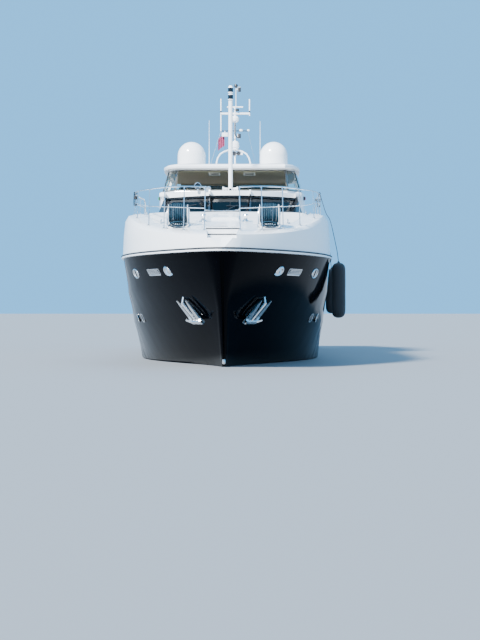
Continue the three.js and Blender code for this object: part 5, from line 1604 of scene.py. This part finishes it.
SEATING = [
    # CAD node, cloth, centre (x, station) of the first pad and step to the next, number of pads,
    # turn, seat pad (width, depth), seat's foot and top, back's top, back's place across the seat
    ("saloon_sofa", seat_cloth, (-2.13, 18.70), (0, 1.00), 4, -90, (0.99, 0.62), 3.39, 3.565, 3.745, 0.245),
    ("cockpit_sofa", deck_canvas, (-1.425, 27.72), (0.95, 0), 4, 180, (0.94, 0.60), 3.41, 3.585, 3.905, 0.4),
    ("helm_seat", seat_cloth, (-0.45, 15.52), (0.90, 0), 2, 180, (0.88, 0.42), 4.48, 4.655, 5.150, 0.270),
    ("bridge_seat", deck_canvas, (-0.45, 18.32), (0.90, 0), 2, 180, (0.88, 0.42), 5.88, 6.055, 6.550, 0.270),
]
seat_width, seat_depth, seat_tall = PAD_SIZES["seat"]
back_width, back_depth, back_thick = PAD_SIZES["back"]
leaned = Matrix.Rotation(math.radians(BACK_LEAN), 4, "X")
for node_name, cloth_material, first, step, count, turn, seat, foot, top, back_top, back_place in SEATING:
    wide, deep = seat
    back_tall = back_top - top + 0.02
    seat_size = Matrix.Diagonal((wide / seat_width, deep / seat_depth, (top - foot) / seat_tall, 1))
    back_size = Matrix.Diagonal((wide / back_width, back_tall / back_depth, BACK_THICK / back_thick, 1))
    lifted = Matrix.Translation((0, 0, foot))
    stood = Matrix.Translation((0, -back_place, top - 0.01 + back_tall / 2)) @ leaned
    pads_work = bmesh.new()
    for i in range(count):
        facing = placed(first[0] + step[0] * i, first[1] + step[1] * i, 0, "Z", math.radians(turn))
        stamped(pads_work, pad_meshes["seat"], facing @ (lifted @ seat_size))
        stamped(pads_work, pad_meshes["back"], facing @ (stood @ back_size))
    pads = piece_from(pads_work, node_name + "_pads", cloth_material,
                      replaced=[node_name], crease=1.2)

# Seat bases: a moulded or joinery plinth stands under each row of pads, and a thin shell of the
# same stuff behind it.
SEAT_BASES = [
    # piece, x0, x1, station fore, station aft, foot, top, finish, slot
    ("saloon_sofa_base", -2.60, -1.80, 18.20, 22.20, 3.13, 3.39, joinery, "joinery"),
    ("cockpit_sofa_base", -1.90, 1.90, 27.40, 28.20, 3.13, 3.41, gelcoat, "gelcoat"),
    ("helm_seat_base", -0.90, 0.90, 15.30, 15.85, 4.05, 4.48, gelcoat, "gelcoat"),
    ("bridge_seat_base", -0.90, 0.90, 18.10, 18.65, 5.45, 5.88, gelcoat, "gelcoat"),
    ("saloon_sofa_shell", -2.60, -2.52, 18.20, 22.20, 3.38, 3.70, joinery, "joinery"),
    ("cockpit_sofa_shell", -1.90, 1.90, 28.17, 28.25, 3.40, 3.86, gelcoat, "gelcoat"),
    ("helm_seat_shell", -0.90, 0.90, 15.80, 15.85, 4.47, 5.10, gelcoat, "gelcoat"),
    ("bridge_seat_shell", -0.90, 0.90, 18.60, 18.65, 5.87, 6.50, gelcoat, "gelcoat"),
]
for name, x0, x1, s0, s1, low, high, made_of, slot in SEAT_BASES:
    base_work = bmesh.new()
    slab(base_work, oblong(x0, x1, s0, s1), low, high - low, 0.02)
    piece_from(base_work, name, made_of)

# Transom door: one moulded leaf in the hull's own paint, hinged along its top over the tender
# garage, with two lift hinges and a flush handle that turn with it.
piece_from(merged_copy("transom_door"), "transom_door_skin", hull_paint, "transom_door",
           ["transom_door"])
transom_tree = BVHTree.FromBMesh(merged_copy("transom_door"))


def on_transom(x, height):
    """A place on the transom door: its own X points to port and its Z astern."""
    spot, normal, _, _ = transom_tree.ray_cast(Vector((x, 16, height)), Vector((0, -1, 0)))
    along = Vector((1, 0, 0))
    place = Matrix((along, normal.cross(along), normal)).transposed().to_4x4()
    place.translation = spot
    return place


door_steel = bmesh.new()
for x in (-1.1, 1.1):
    rounded_plate(door_steel, 0.09, 0.20, 0.008, 0.02, on_transom(x, 2.22))
    rounded_plate(door_steel, 0.05, 0.05, 0.02, 0.01, on_transom(x, 2.29))
rim_plate(door_steel, 0.20, 0.10, 0.006, 0.025, on_transom(0, 0.85), 0.015)
piece_from(door_steel, "transom_door_hardware", polished_steel, "transom_door")

# Exhausts: two oval outlets low on each quarter with polished rims round a black disc in each throat,
# painted shade for the outlet's hollow.
# The rims are cast in steel and let into the plating.
EXHAUST_HEIGHT = 0.55
EXHAUST_STATIONS = (26.6, 27.3)
EXHAUST_OVAL = (1.25, 0.8)
outlet_rims, outlet_shade = bmesh.new(), bmesh.new()
for side in (1, -1):
    for station in EXHAUST_STATIONS:
        place = on_hull(side, station, EXHAUST_HEIGHT)
        ring(outlet_rims, 0.17, 0.022, place, oval=EXHAUST_OVAL, steps=36)
        # A black disc in the outlet: painted shade for its hollow.
        disc(outlet_shade, 0.165, 0.006, place @ Matrix.Diagonal((*EXHAUST_OVAL, 1, 1)))
piece_from(outlet_rims, "exhaust_rims", polished_steel)
piece_from(outlet_shade, "exhaust_throats", black_plastic)

# Propellers and rudders: cast bronze, ground and polished. The CAD castings are taken over
# with their seams merged, so that they shine. Grey anodes are bolted to the hull above them.
CASTINGS = ("propeller_port", "propeller_starboard", "rudder_port", "rudder_starboard")
CASTING_CREASE = math.radians(40)
ANODE_X = 0.7
ANODE_STATIONS = (26.9, 28.9)
for node_name in CASTINGS:
    faired(piece_from(merged_copy(node_name), node_name + "_casting", bronze, node_name,
                      [node_name], CASTING_CREASE))
anodes = bmesh.new()
for side in (1, -1):
    for station in ANODE_STATIONS:
        start = Vector((side * ANODE_X, at(station), -4))
        spot, normal, _, _ = hull_tree.ray_cast(start, Vector((0, 0, 1)))
        tilt = Vector((0, 0, 1)).rotation_difference(normal).to_matrix().to_4x4()
        rounded_plate(anodes, 0.12, 0.30, 0.04, 0.04, Matrix.Translation(spot) @ tilt, edge=0.012)
piece_from(anodes, "hull_anodes", vent_grey)

# Fenders: two long inflated fenders hang on the port side in black fleece covers, which are
# gathered at both ends round a moulded eye. Each hangs by a black line from the bow rail.
FENDERS = [
    # name, x, station, low, high, radius, x and height of the rail
    ("forward", 3.795, 8.20, 1.50, 3.38, 0.240, 3.140, 5.735),
    ("aft", 3.775, 12.80, 1.65, 3.30, 0.220, 3.195, 5.855),
]
FENDER_END = [
    # share of the radius, height
    (0.0, 0.0), (0.30, 0.004), (0.62, 0.035), (0.86, 0.095), (0.985, 0.19),
]
FENDER_EYE = [(0, 0), (0.05, 0), (0.05, 0.03), (0.02, 0.05), (0, 0.05)]
END_TALL = 0.19
GATHERED = 0.30
PLEATS = 18
OVER_RAIL = [
    # x, height of the bends where the line passes the sheer
    (3.72, 3.90), (3.52, 4.78), (3.36, 5.08),
]


def make_fleece():
    finish = Finish("fleece")
    cloud = finish.noise(5.0, 5)
    finish.shade(Base_Color=finish.blended(cloud, (0.010, 0.010, 0.012, 1), (0.028, 0.028, 0.031, 1)),
                 Roughness=finish.spread(cloud, 0.75, 0.95), Sheen_Weight=0.25)
    nap = finish.product(finish.noise(420, 3), 0.25)
    finish.bumped(finish.calc("ADD", nap, finish.noise(7, 3, (1, 1, 0.3))), 0.5, 0.012)
    return finish.material


def fender_cover(x, station, low, high, radius):
    """A long cover, pleated at its ends and a little slack along its sides."""
    tall = high - low
    end_profile = [(radius * share, height) for share, height in FENDER_END]
    profile = end_profile + [(radius, END_TALL + (tall - 2 * END_TALL) * i / 16) for i in range(1, 16)]
    profile += [(r, tall - h) for r, h in reversed(end_profile)]
    work = bmesh.new()
    turned(work, profile, placed(x, station, low), steps=72)
    for vertex in work.verts:
        out = Vector((vertex.co.x - x, vertex.co.y - at(station), 0))
        around = math.atan2(out.y, out.x)
        level = vertex.co.z - low
        end = max(0.0, 1 - min(level, tall - level) / GATHERED)
        pleat = 0.5 + 0.5 * math.cos(PLEATS * around)
        sway = 0.5 + 0.5 * math.sin(level * 9 + 2 * around)
        vertex.co -= out * (0.10 * end * pleat + 0.012 * sway)
    return work


fleece = make_fleece()
for name, x, station, low, high, radius, rail_x, rail_z in FENDERS:
    cover_work = fender_cover(x, station, low, high, radius)
    cover = piece_from(cover_work, "fender_cover_" + name, fleece,
                       replaced=["fender_" + name], crease=1.5)
    line_work = bmesh.new()
    bends = [(x, high + 0.01), (x - 0.03, high + 0.25)] + OVER_RAIL + [(rail_x + 0.03, rail_z - 0.05)]
    sweep(line_work, through([(bend_x, at(station), z) for bend_x, z in bends], 5), 0.011, sides=8)
    ring(line_work, 0.032, 0.012, placed(x, station, high + 0.01, "X", QUARTER), steps=20)
    for i in range(4):
        lashing = placed(rail_x, station + (i - 1.5) * 0.023, rail_z, "X", QUARTER)
        ring(line_work, 0.034, 0.011, lashing, steps=20, sides=8)
    turned(line_work, FENDER_EYE, placed(x, station, high - 0.02), steps=16)
    piece_from(line_work, "fender_line_" + name, black_rubber)
